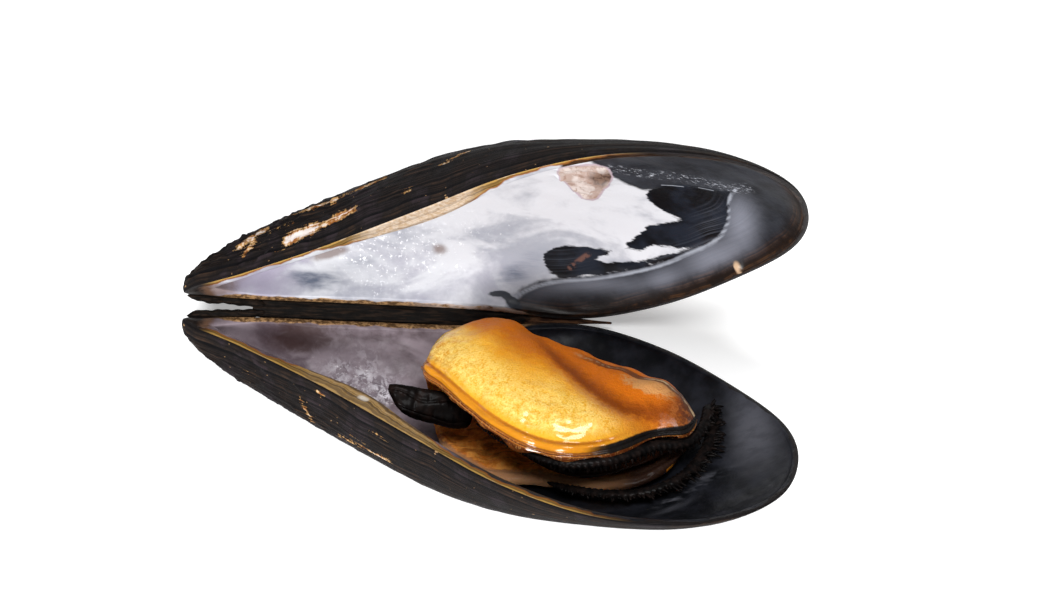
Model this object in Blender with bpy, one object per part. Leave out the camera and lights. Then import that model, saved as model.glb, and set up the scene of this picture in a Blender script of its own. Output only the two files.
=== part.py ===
"""A cooked blue mussel, open: two valves joined by their ligament, and the meat lying in the near one.

Everything is drawn in millimetres and written in metres. A valve is drawn in its own frame: x runs along
the hinge from the beak to the rounded end, y from the hinge towards the ventral edge, and depth from the
plane of the margin into the bowl. The two valves are one shape and its mirror image, hung on one hinge.
"""

import math

import bmesh
import bpy
import numpy as np
from mathutils import Euler, Matrix, Vector
from mathutils.bvhtree import BVHTree

MM = 0.001

# The shell. Each row is a place on the margin, seen square on, from the beak along the hinge and back by the
# ventral edge. After x and y come how full the bowl stays on the way to that place, how squarely its wall
# meets the margin, the width of the inner lip, and how far the outside swells past the margin.
MARGIN = (
    (-0.9, 1.3, 3.2, 2.1, 2.4, 0.8),
    (6.0, 0.4, 2.9, 1.9, 1.1, 0.3),
    (16.0, 0.4, 2.4, 1.7, 1.3, 0.2),
    (28.0, 0.2, 2.1, 1.6, 1.3, 0.0),
    (38.0, -0.9, 2.0, 1.5, 0.9, 0.0),
    (46.0, 2.4, 2.0, 1.45, 0.7, 0.0),
    (53.0, 8.3, 2.0, 1.4, 0.6, 0.0),
    (58.9, 15.3, 1.9, 1.4, 0.6, 0.0),
    (60.5, 22.0, 1.9, 1.35, 0.6, 0.0),
    (58.5, 28.6, 1.9, 1.35, 0.7, 0.0),
    (52.0, 33.0, 1.8, 1.35, 0.8, 0.0),
    (42.2, 33.0, 1.8, 1.3, 1.0, 0.0),
    (32.5, 28.3, 2.1, 1.6, 1.1, 0.1),
    (23.3, 20.7, 2.5, 2.0, 1.2, 0.2),
    (13.0, 11.8, 2.6, 2.1, 1.1, 0.1),
    (4.4, 5.3, 2.7, 2.1, 1.0, 0.2),
    (0.4, 3.0, 3.0, 2.1, 1.7, 0.5),
)
CREST = (29.0, 16.0)
SHELL_DEPTH = 7.7
WALL_THICKNESS = 1.2
OPENING_ANGLE = 60.0
HINGE_GAP = 1.5
ROUNDING = 0.5
SPOKES = 64
OUTER_RINGS = 12
INNER_RINGS = 9

# How the mussel lies: rolled about the hinge onto the near valve and tipped along it, so that its weight is
# over the belly of that valve. There the outside is flat, by no more than this much.
ROLL = 28.3
PITCH = 2.3
REST_FLAT = 0.2

# The ligament: an elastic strip in the groove between the hinge edges. Its section is in places across the
# groove and up, wider below the edges than between them.
LIGAMENT_START = 5.5
LIGAMENT_END = 34.0
LIGAMENT_SECTION = (
    (0.5, 0.5), (0.2, 0.6), (-0.2, 0.6), (-0.5, 0.5), (-0.5, 0.0), (-0.6, -0.5), (-0.8, -1.0),
    (-0.6, -1.4), (-0.2, -1.6), (0.2, -1.6), (0.6, -1.4), (0.8, -1.0), (0.6, -0.5), (0.5, 0.0),
)

# The mantle, in the near valve's frame with height above the margin's plane. Each station is a place along
# the hinge, the crest of the upper lobe, its free lip, and how far the lower lobe reaches down the bowl.
MANTLE_STATIONS = (
    (23.4, 7.6, 1.6, 11.2, 1.4, 13.6),
    (25.0, 6.4, 2.9, 13.3, 1.4, 15.4),
    (27.5, 5.7, 3.9, 16.2, 1.2, 17.6),
    (30.5, 5.7, 4.5, 19.5, 0.8, 19.4),
    (34.0, 7.2, 4.1, 22.0, 0.3, 19.6),
    (38.0, 8.4, 3.5, 23.2, 0.0, 20.2),
    (42.0, 9.8, 3.1, 22.3, 0.0, 21.2),
    (46.0, 11.3, 2.6, 19.4, 0.0, 21.0),
    (49.2, 12.8, 2.0, 17.8, 0.0, 18.6),
    (50.6, 13.6, 1.4, 16.8, -0.2, 16.6),
)
LOBE_THICKNESS = 2.2
LOWER_LOBE_THICKNESS = 1.1
CLEARANCE = 0.35

# The black edge of the mantle, in the same frame: x, y and height of its middle line.
FRILL_PATH = (
    (29.0, 17.6, -0.2), (31.5, 20.2, -0.5), (34.6, 22.2, -0.9), (38.5, 23.3, -1.15), (42.5, 22.4, -1.15),
    (46.3, 19.8, -1.15), (49.4, 18.0, -1.2), (51.2, 15.0, -1.0), (51.6, 12.0, -0.9),
    (51.9, 11.2, -1.9), (52.5, 13.0, -2.7), (52.3, 16.2, -3.0), (51.0, 19.2, -3.3), (49.0, 21.6, -3.5),
    (45.4, 23.2, -3.7), (41.8, 22.9, -4.0), (38.4, 21.7, -4.3), (36.4, 20.6, -4.4),
)
FRILL_WIDTH = 1.3
FRILL_THICKNESS = 0.9
PAPILLAE = 34

# The foot and the gills: x, y, height, and half the width and half the thickness there.
FOOT_PATH = (
    (20.5, 13.9, 0.3, 0.8, 0.5), (21.6, 13.9, 0.1, 1.6, 0.9), (24.0, 13.9, -0.5, 1.7, 0.9),
    (26.5, 13.9, -1.0, 1.7, 0.8), (28.8, 13.9, -1.4, 1.3, 0.6),
)
GILL_PATH = (
    (30.0, 15.4, -2.4, 0.8, 0.3), (32.0, 16.6, -2.4, 2.2, 0.6), (38.0, 18.2, -2.6, 2.8, 0.8),
    (44.0, 17.6, -2.2, 2.2, 0.7), (47.2, 16.6, -1.8, 1.4, 0.5), (49.0, 16.2, -1.7, 0.7, 0.3),
)

COLOURS = {
    "shell_black": ((0.030, 0.028, 0.032), 0.35),
    "ligament_brown": ((0.045, 0.025, 0.015), 0.55),
    "mantle_orange": ((0.80, 0.38, 0.06), 0.35),
    "frill_black": ((0.020, 0.015, 0.014), 0.45),
    "foot_black": ((0.025, 0.014, 0.012), 0.40),
    "gill_brown": ((0.16, 0.05, 0.02), 0.50),
}


def clear_scene():
    for obj in list(bpy.data.objects):
        bpy.data.objects.remove(obj, do_unlink=True)


def smooth_curve(points, per_span, closed):
    """Points on the Catmull-Rom curve through the given ones."""
    points = np.asarray(points, float)
    if closed:
        padded = np.vstack([points[-1], points, points[:2]])
    else:
        padded = np.vstack([2 * points[0] - points[1], points, 2 * points[-1] - points[-2]])
    t = np.linspace(0.0, 1.0, per_span, endpoint=False)[:, None]
    spans = []
    for a, b, c, d in zip(padded, padded[1:], padded[2:], padded[3:]):
        bend = (-a + c) * t + (2 * a - 5 * b + 4 * c - d) * t**2 + (-a + 3 * b - 3 * c + d) * t**3
        spans.append(b + 0.5 * bend)
    if not closed:
        spans.append(points[-1:])
    return np.vstack(spans)


def evenly_spaced(curve, count, closed):
    """The same curve with its points at equal distances along it."""
    path = np.vstack([curve, curve[:1]]) if closed else curve
    run = np.concatenate([[0.0], np.cumsum(np.linalg.norm(np.diff(path, axis=0), axis=1))])
    wanted = np.linspace(0.0, run[-1], count, endpoint=not closed)
    return np.stack([np.interp(wanted, run, column) for column in path.T], axis=1)


def margin_loop(count):
    """The margin at equal steps: its places, the fullness, squareness and lip width there, and the swell."""
    places = np.array(MARGIN)[:, :2]
    scaled = np.column_stack([places, 1e-3 * np.array(MARGIN)[:, 2:]])
    loop = evenly_spaced(smooth_curve(scaled, 16, closed=True), count, closed=True)
    fullness, squareness, lip, swell = 1e3 * loop[:, 2:].T
    return loop[:, :2], fullness, squareness, lip, swell


def outwards(margin):
    """The direction square to the margin and away from the bowl, at each of its places."""
    along = np.roll(margin, -1, axis=0) - np.roll(margin, 1, axis=0)
    across = np.stack([along[:, 1], -along[:, 0]], axis=1)
    return across / np.linalg.norm(across, axis=1)[:, None]


def shell_ring(margin, turn, depth, fullness, squareness, swell):
    """One ring of a wall: turn is 0 at the margin and a quarter turn at the crest. Its corners round as it climbs."""
    spread = np.fft.fft((margin - CREST) @ (1, 1j))
    order = np.abs(np.fft.fftfreq(len(margin), 1 / len(margin)))
    keep = np.exp(-ROUNDING * math.sin(turn) ** 2 * np.maximum(order - 1, 0))
    rounded = np.fft.ifft(spread * keep)
    reach = math.cos(turn) ** (2 / fullness)
    place = np.asarray(CREST) + reach[:, None] * np.column_stack([rounded.real, rounded.imag])
    bulge = 2.6 * swell * math.sin(turn) * math.cos(turn) ** 2
    return np.column_stack([place + bulge[:, None] * outwards(margin), depth * math.sin(turn) ** (2 / squareness)])


def inner_rings():
    """The rings of the bowl's inner surface, from the edge of the lip to the last one before the crest."""
    margin, fullness, squareness, lip, _ = margin_loop(SPOKES)
    inner = margin - outwards(margin) * lip[:, None]
    turns = [0.5 * math.pi * step / INNER_RINGS for step in range(INNER_RINGS)]
    return [shell_ring(inner, turn, SHELL_DEPTH - WALL_THICKNESS, fullness, squareness, 0 * lip) for turn in turns]


def outer_rings():
    margin, fullness, squareness, _, swell = margin_loop(SPOKES)
    turns = [0.5 * math.pi * step / OUTER_RINGS for step in range(OUTER_RINGS)]
    return [shell_ring(margin, turn, SHELL_DEPTH, fullness, squareness, swell) for turn in turns]


def bowl_surface():
    """The bowl's inner surface, to find how deep it lies under a place."""
    rings = inner_rings()
    points = [Vector(point) for ring in rings for point in ring] + [Vector((*CREST, SHELL_DEPTH - WALL_THICKNESS))]
    faces = []
    for row in range(len(rings) - 1):
        for k in range(SPOKES):
            here, beside = row * SPOKES + k, row * SPOKES + (k + 1) % SPOKES
            faces.append((here, beside, beside + SPOKES, here + SPOKES))
    last = (len(rings) - 1) * SPOKES
    faces += [(last + k, last + (k + 1) % SPOKES, len(points) - 1) for k in range(SPOKES)]
    return BVHTree.FromPolygons(points, faces)


def bowl_floor(surface, x, y):
    """Height of the bowl's inner surface at a place, below the plane of the margin. It is 0 on the lip."""
    found = surface.ray_cast(Vector((x, y, 20.0)), Vector((0.0, 0.0, -1.0)))[0]
    return -found.z if found else 0.0


def loft(name, rings, colour, first_pole=None, last_pole=None):
    """A closed mesh through rings of equally many points. An end is a fan to its pole, or a flat cap."""
    count = len(rings[0])
    vertices = [tuple(point * MM) for ring in rings for point in np.asarray(ring)]
    faces = []
    for row in range(len(rings) - 1):
        for k in range(count):
            here, beside = row * count + k, row * count + (k + 1) % count
            faces.append((here, beside, beside + count, here + count))
    for pole, row in ((first_pole, 0), (last_pole, len(rings) - 1)):
        ring = [row * count + k for k in range(count)]
        if pole is None:
            faces.append(tuple(ring))
            continue
        vertices.append(tuple(np.asarray(pole) * MM))
        faces += [(ring[k], ring[(k + 1) % count], len(vertices) - 1) for k in range(count)]
    mesh = bpy.data.meshes.new(name)
    mesh.from_pydata(vertices, [], faces)
    work = bmesh.new()
    work.from_mesh(mesh)
    bmesh.ops.recalc_face_normals(work, faces=work.faces)
    bmesh.ops.triangulate(work, faces=[face for face in work.faces if len(face.verts) > 4])
    work.to_mesh(mesh)
    work.free()
    mesh.shade_smooth()
    mesh.set_sharp_from_angle(angle=math.radians(50))
    mesh.materials.append(material(colour))
    return bpy.data.objects.new(name, mesh)


def material(name):
    found = bpy.data.materials.get(name)
    if found:
        return found
    made = bpy.data.materials.new(name)
    made.use_nodes = True
    (red, green, blue), roughness = COLOURS[name]
    shader = made.node_tree.nodes["Principled BSDF"]
    shader.inputs["Base Color"].default_value = (red, green, blue, 1.0)
    shader.inputs["Roughness"].default_value = roughness
    shader.inputs["Metallic"].default_value = 0.0
    return made


def down_in_near_valve():
    """The direction of the ground in the near valve's own frame."""
    turned = Euler((math.radians(ROLL), math.radians(PITCH), 0.0)).to_matrix()
    turned = turned @ Matrix.Rotation(math.radians(90 + 0.5 * OPENING_ANGLE), 3, "X")
    return np.array(turned.inverted() @ Vector((0.0, 0.0, -1.0)))


def resting(outside, down):
    """The outside with what lies lowest pressed up to one plane, which is what the mussel rests on."""
    limit = max(np.max(ring @ down) for ring in outside) - REST_FLAT
    return [ring - np.maximum(ring @ down - limit, 0.0)[:, None] * down for ring in outside]


def valve(name, mirror):
    """One valve: rings from the crest of the bowl up to the inner lip, over the margin and down outside."""
    side = np.array([1.0, 1.0, -1.0 if mirror else 1.0])
    crest = np.array([[*CREST, SHELL_DEPTH]])
    outside = outer_rings() + [crest]
    if not mirror:
        outside = resting(outside, down_in_near_valve())
    rings = [ring * side for ring in inner_rings()[::-1] + outside[:-1]]
    poles = (crest[0] - (0.0, 0.0, WALL_THICKNESS)) * side, outside[-1][0] * side
    return loft(name, rings, "shell_black", *poles)


def ligament():
    """A strip wider below than above, which narrows to a point at each end."""
    section = np.array(LIGAMENT_SECTION)
    rings = []
    for share in np.linspace(0.0, 1.0, 17)[1:-1]:
        width = math.sqrt(1 - (2 * share - 1) ** 6)
        x = LIGAMENT_START + share * (LIGAMENT_END - LIGAMENT_START)
        places = section * (width, width)
        rings.append(np.column_stack([np.full(len(places), x), places]))
    ends = [np.array([x, 0.0, -0.4]) for x in (LIGAMENT_START, LIGAMENT_END)]
    return loft("ligament", rings, "ligament_brown", *ends)


def mantle_section(surface, station):
    """The outer and inner side of the mantle's C-shaped section, from the upper lip round the back to the lower edge."""
    x, crest_y, crest_h, lip_y, lip_h, edge_y = station
    span = lip_y - crest_y
    belly_y = 0.5 * crest_y + 0.5 * edge_y

    def floor(y, lift):
        return (y, bowl_floor(surface, x, y) + CLEARANCE + lift)

    outer = [
        (lip_y, lip_h),
        (lip_y - 0.05 * span, lip_h + 0.9),
        (crest_y + 0.75 * span, crest_h * 0.62 + lip_h * 0.38 + 0.9),
        (crest_y + 0.38 * span, crest_h + 0.9),
        (crest_y, crest_h),
        (crest_y - 1.6, crest_h - 2.4),
        floor(crest_y - 0.5, 0.3),
        floor(belly_y, 0.0),
        floor(edge_y - 2.0, 0.0),
        floor(edge_y, 0.25),
    ]
    inner = [
        (lip_y - 0.25, lip_h - 0.35),
        (lip_y - 0.12 * span, lip_h - 0.2),
        (crest_y + 0.68 * span, crest_h * 0.62 + lip_h * 0.38 + 0.8 - LOBE_THICKNESS),
        (crest_y + 0.45 * span, crest_h + 0.4 - LOBE_THICKNESS),
        (crest_y + 0.26 * span, crest_h - 0.6 - LOBE_THICKNESS),
        (crest_y + 0.22 * span, crest_h - 2.2 - LOBE_THICKNESS),
        floor(crest_y + 0.28 * span, 1.5 + LOWER_LOBE_THICKNESS),
        floor(belly_y + 1.0, LOWER_LOBE_THICKNESS),
        floor(edge_y - 2.0, LOWER_LOBE_THICKNESS),
        floor(edge_y - 0.4, 0.7),
    ]
    return np.array(outer), np.array(inner)


def mantle(surface):
    stations = evenly_spaced(smooth_curve(MANTLE_STATIONS, 6, closed=False), 26, closed=False)
    rings = []
    for number, station in enumerate(stations):
        share = number / (len(stations) - 1)
        outer, inner = mantle_section(surface, station)
        middle = 0.5 * (outer + inner)
        from_end = min(number, len(stations) - 1 - number)
        plump = (0.4, 0.75, 0.92, 1.0)[min(from_end, 3)]
        sides = [middle + plump * (side - middle) for side in (outer, inner)]
        outer, inner = (evenly_spaced(smooth_curve(side, 6, closed=False), 14, closed=False) for side in sides)
        loop = np.vstack([outer, inner[::-1]])
        lower = np.concatenate([np.linspace(0, 1, 14), np.linspace(1, 0, 14)]) ** 1.5
        x = station[0] + lower * (2.2 * (1 - share) ** 3 - 1.0 * share**3)
        rings.append(np.column_stack([x, loop[:, 0], -loop[:, 1]]))
    return loft("mantle", rings, "mantle_orange")


def tube(name, colour, path, wide, thick, up, around, ends):
    """A closed tube along a path of (x, y, height), oval in section, its broad side set by the up direction."""
    rings = []
    for here, ahead, w, t, side in zip(path, np.gradient(path, axis=0), wide, thick, up):
        along = ahead / np.linalg.norm(ahead)
        across = np.cross(along, side)
        across /= np.linalg.norm(across)
        normal = np.cross(across, along)
        ring = [here + math.cos(a) * w * across + math.sin(a) * t * normal for a in around]
        rings.append(np.array(ring) * (1, 1, -1))
    poles = [np.array(end) * (1, 1, -1) for end in ends]
    return loft(name, rings, colour, *poles)


def frill(surface):
    """The black mantle edge: a cord under the upper lip, round the posterior end and back, with its papillae."""
    path = evenly_spaced(smooth_curve(FRILL_PATH, 8, closed=False), 2 * PAPILLAE + 1, closed=False)
    share = np.linspace(0.0, 1.0, len(path))
    taper = np.sqrt(1 - (2 * share - 1) ** 8)
    lowest = [bowl_floor(surface, x, y) + 0.5 * FRILL_WIDTH + CLEARANCE for x, y in path[:, :2]]
    path[:, 2] = np.maximum(path[:, 2], lowest)
    comb = np.where(np.arange(len(path)) % 2, 1.0, 0.72)
    wide = FRILL_WIDTH * 0.5 * np.maximum(taper, 0.25) * comb
    thick = FRILL_THICKNESS * 0.5 * np.maximum(taper, 0.25) * comb
    path, ends = path[1:-1], (path[0], path[-1])
    around = np.linspace(0, 2 * math.pi, 8, endpoint=False)
    up = np.tile([0.0, 0.25, 1.0], (len(path), 1))
    return tube("mantle_frill", "frill_black", path, wide[1:-1], thick[1:-1], up, around, ends)


def foot():
    path = evenly_spaced(smooth_curve(FOOT_PATH, 6, closed=False), 13, closed=False)
    around = np.linspace(0, 2 * math.pi, 12, endpoint=False)
    middle, ends = path[1:-1, :3], (path[0, :3], path[-1, :3])
    up = np.tile([0.0, 0.8, 0.6], (len(middle), 1))
    return tube("foot", "foot_black", middle, path[1:-1, 3], path[1:-1, 4], up, around, ends)


def gills():
    path = evenly_spaced(smooth_curve(GILL_PATH, 6, closed=False), 15, closed=False)
    around = np.linspace(0, 2 * math.pi, 12, endpoint=False)
    middle, ends = path[1:-1, :3], (path[0, :3], path[-1, :3])
    up = np.tile([0.0, 0.3, 1.0], (len(middle), 1))
    return tube("gills", "gill_brown", middle, path[1:-1, 3], path[1:-1, 4], up, around, ends)


def main():
    clear_scene()
    pieces = bpy.data.collections.new("mussel")
    bpy.context.scene.collection.children.link(pieces)
    hinge = bpy.data.objects.new("hinge", None)
    hinge.rotation_euler = Euler((math.radians(ROLL), math.radians(PITCH), 0.0))
    pieces.objects.link(hinge)

    surface = bowl_surface()
    half = 0.5 * OPENING_ANGLE
    near = (-0.5 * HINGE_GAP, 90 + half)
    placed = (
        (valve("near_valve", mirror=False), *near),
        (valve("far_valve", mirror=True), 0.5 * HINGE_GAP, 90 - half),
        (ligament(), 0.0, 0.0),
        (mantle(surface), *near),
        (frill(surface), *near),
        (foot(), *near),
        (gills(), *near),
    )
    for obj, across, turn in placed:
        obj.location = (0.0, across * MM, 0.0)
        obj.rotation_euler = Euler((math.radians(turn), 0.0, 0.0))
        obj.parent = hinge
        pieces.objects.link(obj)

    # The origin is under the middle of the object, on the ground.
    bpy.context.view_layer.update()
    points = np.array([obj.matrix_world @ point.co for obj, *_ in placed for point in obj.data.vertices])
    low, high = points.min(axis=0), points.max(axis=0)
    hinge.location = (-0.5 * (low[0] + high[0]), -0.5 * (low[1] + high[1]), -low[2])


main()
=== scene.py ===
# %% [markdown]
# # A cooked blue mussel, lying open
#
# A mussel has two valves, one the mirror image of the other, which hang on a dark elastic ligament. When it is
# cooked the valves spring apart and the orange meat stays in one of them. This lesson dresses the imported model:
# every surface is worked out again as a fine grid of points, and gets a material made of shader nodes.
#
# First the imported model is loaded as a fixed frame.

# %% The imported model
import math

import bmesh
import bpy
import mathutils
import numpy as np
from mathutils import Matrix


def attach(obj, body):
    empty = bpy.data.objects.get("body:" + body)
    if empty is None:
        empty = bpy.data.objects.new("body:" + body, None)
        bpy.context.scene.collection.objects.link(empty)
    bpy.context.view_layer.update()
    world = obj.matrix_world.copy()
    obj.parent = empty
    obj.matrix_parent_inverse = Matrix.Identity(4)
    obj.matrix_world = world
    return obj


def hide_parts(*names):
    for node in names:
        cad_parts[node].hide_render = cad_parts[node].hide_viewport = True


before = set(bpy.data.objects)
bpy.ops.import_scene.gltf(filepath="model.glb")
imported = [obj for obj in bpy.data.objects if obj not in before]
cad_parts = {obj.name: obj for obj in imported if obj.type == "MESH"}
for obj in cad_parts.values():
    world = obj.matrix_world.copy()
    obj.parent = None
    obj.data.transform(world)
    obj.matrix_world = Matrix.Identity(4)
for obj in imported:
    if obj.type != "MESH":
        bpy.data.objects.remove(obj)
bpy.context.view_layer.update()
MM = 0.001
print("nodes:", sorted(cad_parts))

# %% [markdown]
# ## Where things are
#
# A shell is easiest to draw in its own frame: x along the hinge from the beak, y from the hinge to the ventral
# edge, and depth into the bowl. The valve could be drawn once and placed with object transforms, but a finished
# piece has its place in its mesh, so one function turns those places into the part's frame.

# %% From a valve's frame to the part's frame
OPENING = math.radians(60.0)
HINGE_GAP = 1.5
ROLL = math.radians(28.3)
PITCH = math.radians(2.3)
ORIGIN = np.array([-30.226, 10.199, 3.473])
NEAR, FAR = -1.0, 1.0

tip = np.array([[math.cos(PITCH), 0, math.sin(PITCH)], [0, 1, 0], [-math.sin(PITCH), 0, math.cos(PITCH)]])
roll = np.array([[1, 0, 0], [0, math.cos(ROLL), -math.sin(ROLL)], [0, math.sin(ROLL), math.cos(ROLL)]])
LIE = tip @ roll


def from_hinge(places):
    """Millimetres on the hinge (along, across, up) to metres in the part's frame: turned by LIE, then moved."""
    return (np.asarray(places) @ LIE.T + ORIGIN) * MM


def from_valve(places, side):
    """Places (x, y, depth) of a valve, turned about the hinge by half the opening, then from the hinge on."""
    x, y, depth = np.moveaxis(np.asarray(places, float), -1, 0)
    across = side * (0.5 * HINGE_GAP + y * math.sin(OPENING / 2) + depth * math.cos(OPENING / 2))
    up = y * math.cos(OPENING / 2) - depth * math.sin(OPENING / 2)
    return from_hinge(np.stack([x, across, up], axis=-1))


print("the hinge starts at", from_hinge([0, 0, 0]).round(4))

# %% [markdown]
# ## Curves and grids
#
# Almost every piece is a grid of points: rings of equally many points, one after the other. A curve through a
# few given places can be a Bezier object, or, as here, a Catmull-Rom spline worked out with arrays, which
# gives the same curve to other functions.

# %% Smooth curves
def smooth_curve(points, per_span, closed=False):
    """Catmull-Rom: between two places the curve is the cubic whose slopes there match their neighbours."""
    points = np.asarray(points, float)
    if closed:
        padded = np.concatenate([points[-1:], points, points[:2]])
    else:
        padded = np.concatenate([2 * points[:1] - points[1:2], points, 2 * points[-1:] - points[-2:-1]])
    a, b, c, d = padded[:-3, None], padded[1:-2, None], padded[2:-1, None], padded[3:, None]
    t = np.linspace(0.0, 1.0, per_span, endpoint=False).reshape(1, -1, *[1] * (points.ndim - 1))
    bend = (-a + c) * t + (2 * a - 5 * b + 4 * c - d) * t**2 + (-a + 3 * b - 3 * c + d) * t**3
    curve = (b + 0.5 * bend).reshape(-1, *points.shape[1:])
    return curve if closed else np.concatenate([curve, points[-1:]])


def run_along(curve):
    """The distance from the start of a curve to each of its points."""
    return np.concatenate([[0.0], np.cumsum(np.linalg.norm(np.diff(curve, axis=0), axis=1))])


def evenly_spaced(curve, count, closed=False, crowd=1.0):
    """The same curve with its points at equal distances along it, or crowded to its start."""
    path = np.vstack([curve, curve[:1]]) if closed else np.asarray(curve)
    run = run_along(path)
    wanted = run[-1] * np.linspace(0.0, 1.0, count, endpoint=not closed) ** crowd
    return np.stack([np.interp(wanted, run, column) for column in path.T], axis=1)


# %% Meshes from grids
def grid_faces(rows, columns, first=0):
    """The quads between neighbouring rings. A ring closes on itself."""
    row, column = np.meshgrid(np.arange(rows - 1), np.arange(columns), indexing="ij")
    here = first + row * columns + column
    beside = first + row * columns + (column + 1) % columns
    return np.stack([here, beside, beside + columns, here + columns], axis=-1).reshape(-1, 4)


def make_piece(name, points, faces, attributes=(), finishes=None, weld=1e-7):
    """A mesh object from arrays. Points that coincide are welded, and its faces are turned outwards. Attributes
    are values for each point, and finishes says which of the piece's materials each face takes."""
    mesh = bpy.data.meshes.new(name)
    mesh.from_pydata(points.reshape(-1, 3).tolist(), [], faces if isinstance(faces, list) else faces.tolist())
    for label, values in dict(attributes).items():
        values = np.asarray(values, np.float32)
        kind = "FLOAT_VECTOR" if values.shape[-1:] == (3,) and values.ndim > 1 else "FLOAT"
        layer = mesh.attributes.new(label, kind, "POINT")
        layer.data.foreach_set("vector" if kind == "FLOAT_VECTOR" else "value", values.ravel())
    if finishes is not None:
        mesh.polygons.foreach_set("material_index", np.asarray(finishes, np.int32))
    work = bmesh.new()
    work.from_mesh(mesh)
    bmesh.ops.remove_doubles(work, verts=work.verts, dist=weld)
    bmesh.ops.recalc_face_normals(work, faces=work.faces)
    work.to_mesh(mesh)
    open_edges = sum(not edge.is_manifold for edge in work.edges)
    work.free()
    mesh.shade_smooth()
    piece = bpy.data.objects.new(name, mesh)
    bpy.context.scene.collection.objects.link(piece)
    mesh.calc_loop_triangles()
    print(f"{name}: {len(mesh.loop_triangles)} triangles, {open_edges} open edges")
    return piece


def grid_normals(grid, wrap):
    """Normals of a grid of rings: the cross product of the step along a ring and the step to the next ring."""
    if wrap:
        along = np.roll(grid, -1, axis=1) - np.roll(grid, 1, axis=1)
    else:
        along = np.gradient(grid, axis=1)
    normal = np.cross(along, np.gradient(grid, axis=0))
    return normal / np.maximum(np.linalg.norm(normal, axis=-1, keepdims=True), 1e-12)


# %% [markdown]
# ## Natural irregularity
#
# Nothing grown is quite even. A cloud texture could push the points about, but a sum of waves in fixed random
# directions does the same in two lines, and gives the same result on every run.

# %% Ripples and soft steps
def ripple(places, size, seed, waves=14):
    """Smooth noise of about unit height: the mean of sine waves of that size in random directions."""
    pick = np.random.default_rng(seed)
    places = np.asarray(places, float)
    turn = pick.normal(size=(waves, places.shape[-1]))
    turn *= (pick.uniform(0.6, 1.6, waves) / np.linalg.norm(turn, axis=1))[:, None]
    phase = pick.uniform(0, 2 * math.pi, waves)
    return np.sin(places @ turn.T * (2 * math.pi / size) + phase).sum(axis=-1) / math.sqrt(waves / 2)


def soft_step(value, low, high):
    """0 below low, 1 above high, and a smooth S between."""
    share = np.clip((np.asarray(value) - low) / (high - low), 0.0, 1.0)
    return share * share * (3 - 2 * share)


def bump_at(value, middle, width):
    """A smooth ridge of height 1 round a middle value."""
    return np.exp(-(((np.asarray(value) - middle) / width) ** 2))


def inside_of(places, outline):
    """Millimetres inside a closed outline: the distance to its nearest side, negative outside it."""
    start = np.asarray(outline, float)
    side = np.roll(start, -1, axis=0) - start
    flat = np.asarray(places, float)[..., :2].reshape(-1, 2)
    offset = flat[:, None] - start
    share = np.clip((offset * side).sum(-1) / (side**2).sum(-1), 0, 1)
    gap = np.linalg.norm(offset - share[..., None] * side, axis=-1).min(axis=1)
    y, end_y = flat[:, 1:], start[:, 1] + side[:, 1]
    crosses = (start[:, 1] > y) != (end_y > y)
    slope = side[:, 0] / np.where(side[:, 1] == 0, 1, side[:, 1])
    within = (crosses & (flat[:, :1] < start[:, 0] + (y - start[:, 1]) * slope)).sum(axis=1) % 2 == 1
    return np.where(within, gap, -gap).reshape(np.shape(places)[:-1])


def away_from(places, line):
    """Millimetres from an open line, drawn through a few places."""
    line = np.asarray(line, float)
    start, side = line[:-1], np.diff(line, axis=0)
    flat = np.asarray(places, float)[..., : line.shape[1]].reshape(-1, line.shape[1])
    offset = flat[:, None] - start
    share = np.clip((offset * side).sum(-1) / (side**2).sum(-1), 0, 1)
    gap = np.linalg.norm(offset - share[..., None] * side, axis=-1).min(axis=1)
    return gap.reshape(np.shape(places)[:-1])


print("ripple of one place:", ripple([[1.0, 2.0, 3.0]], 5.0, 1).round(3))

# %% [markdown]
# ## The form of a valve
#
# A shell grows only at its margin, so everything on it follows the margin. The wall is drawn as rings: the
# margin at the start, then ever smaller rings that climb to the crest of the bowl. How full the bowl stays and
# how squarely its wall meets the margin change on the way round, and both come with the places of the margin.

# %% The margin
# Rows of a place (x, y) on the margin, then fullness, squareness, the width of the lip and the swell beyond it.
MARGIN = (
    (-0.9, 1.3, 3.2, 2.1, 2.4, 0.8), (6.0, 0.4, 2.9, 1.9, 1.1, 0.3), (16.0, 0.4, 2.4, 1.7, 1.3, 0.2),
    (28.0, 0.2, 2.1, 1.6, 1.3, 0.0), (38.0, -0.9, 2.0, 1.5, 0.9, 0.0), (46.0, 2.4, 2.0, 1.45, 0.7, 0.0),
    (53.0, 8.3, 2.0, 1.4, 0.6, 0.0), (58.9, 15.3, 1.9, 1.4, 0.6, 0.0), (60.5, 22.0, 1.9, 1.35, 0.6, 0.0),
    (58.5, 28.6, 1.9, 1.35, 0.7, 0.0), (52.0, 33.0, 1.8, 1.35, 0.8, 0.0), (42.2, 33.0, 1.8, 1.3, 1.0, 0.0),
    (32.5, 28.3, 2.1, 1.6, 1.1, 0.1), (23.3, 20.7, 2.5, 2.0, 1.2, 0.2), (13.0, 11.8, 2.6, 2.1, 1.1, 0.1),
    (4.4, 5.3, 2.7, 2.1, 1.0, 0.2), (0.4, 3.0, 3.0, 2.1, 1.7, 0.5),
)
CREST = np.array([29.0, 16.0])
SHELL_DEPTH = 7.7
WALL_THICKNESS = 1.2
ROUNDING = 0.5
SPOKES = 64
PER_SPOKE = 6


def outwards(margin):
    """The direction square to the margin and away from the bowl."""
    along = np.roll(margin, -1, axis=0) - np.roll(margin, 1, axis=0)
    across = np.stack([along[:, 1], -along[:, 0]], axis=1)
    return across / np.linalg.norm(across, axis=1)[:, None]


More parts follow.
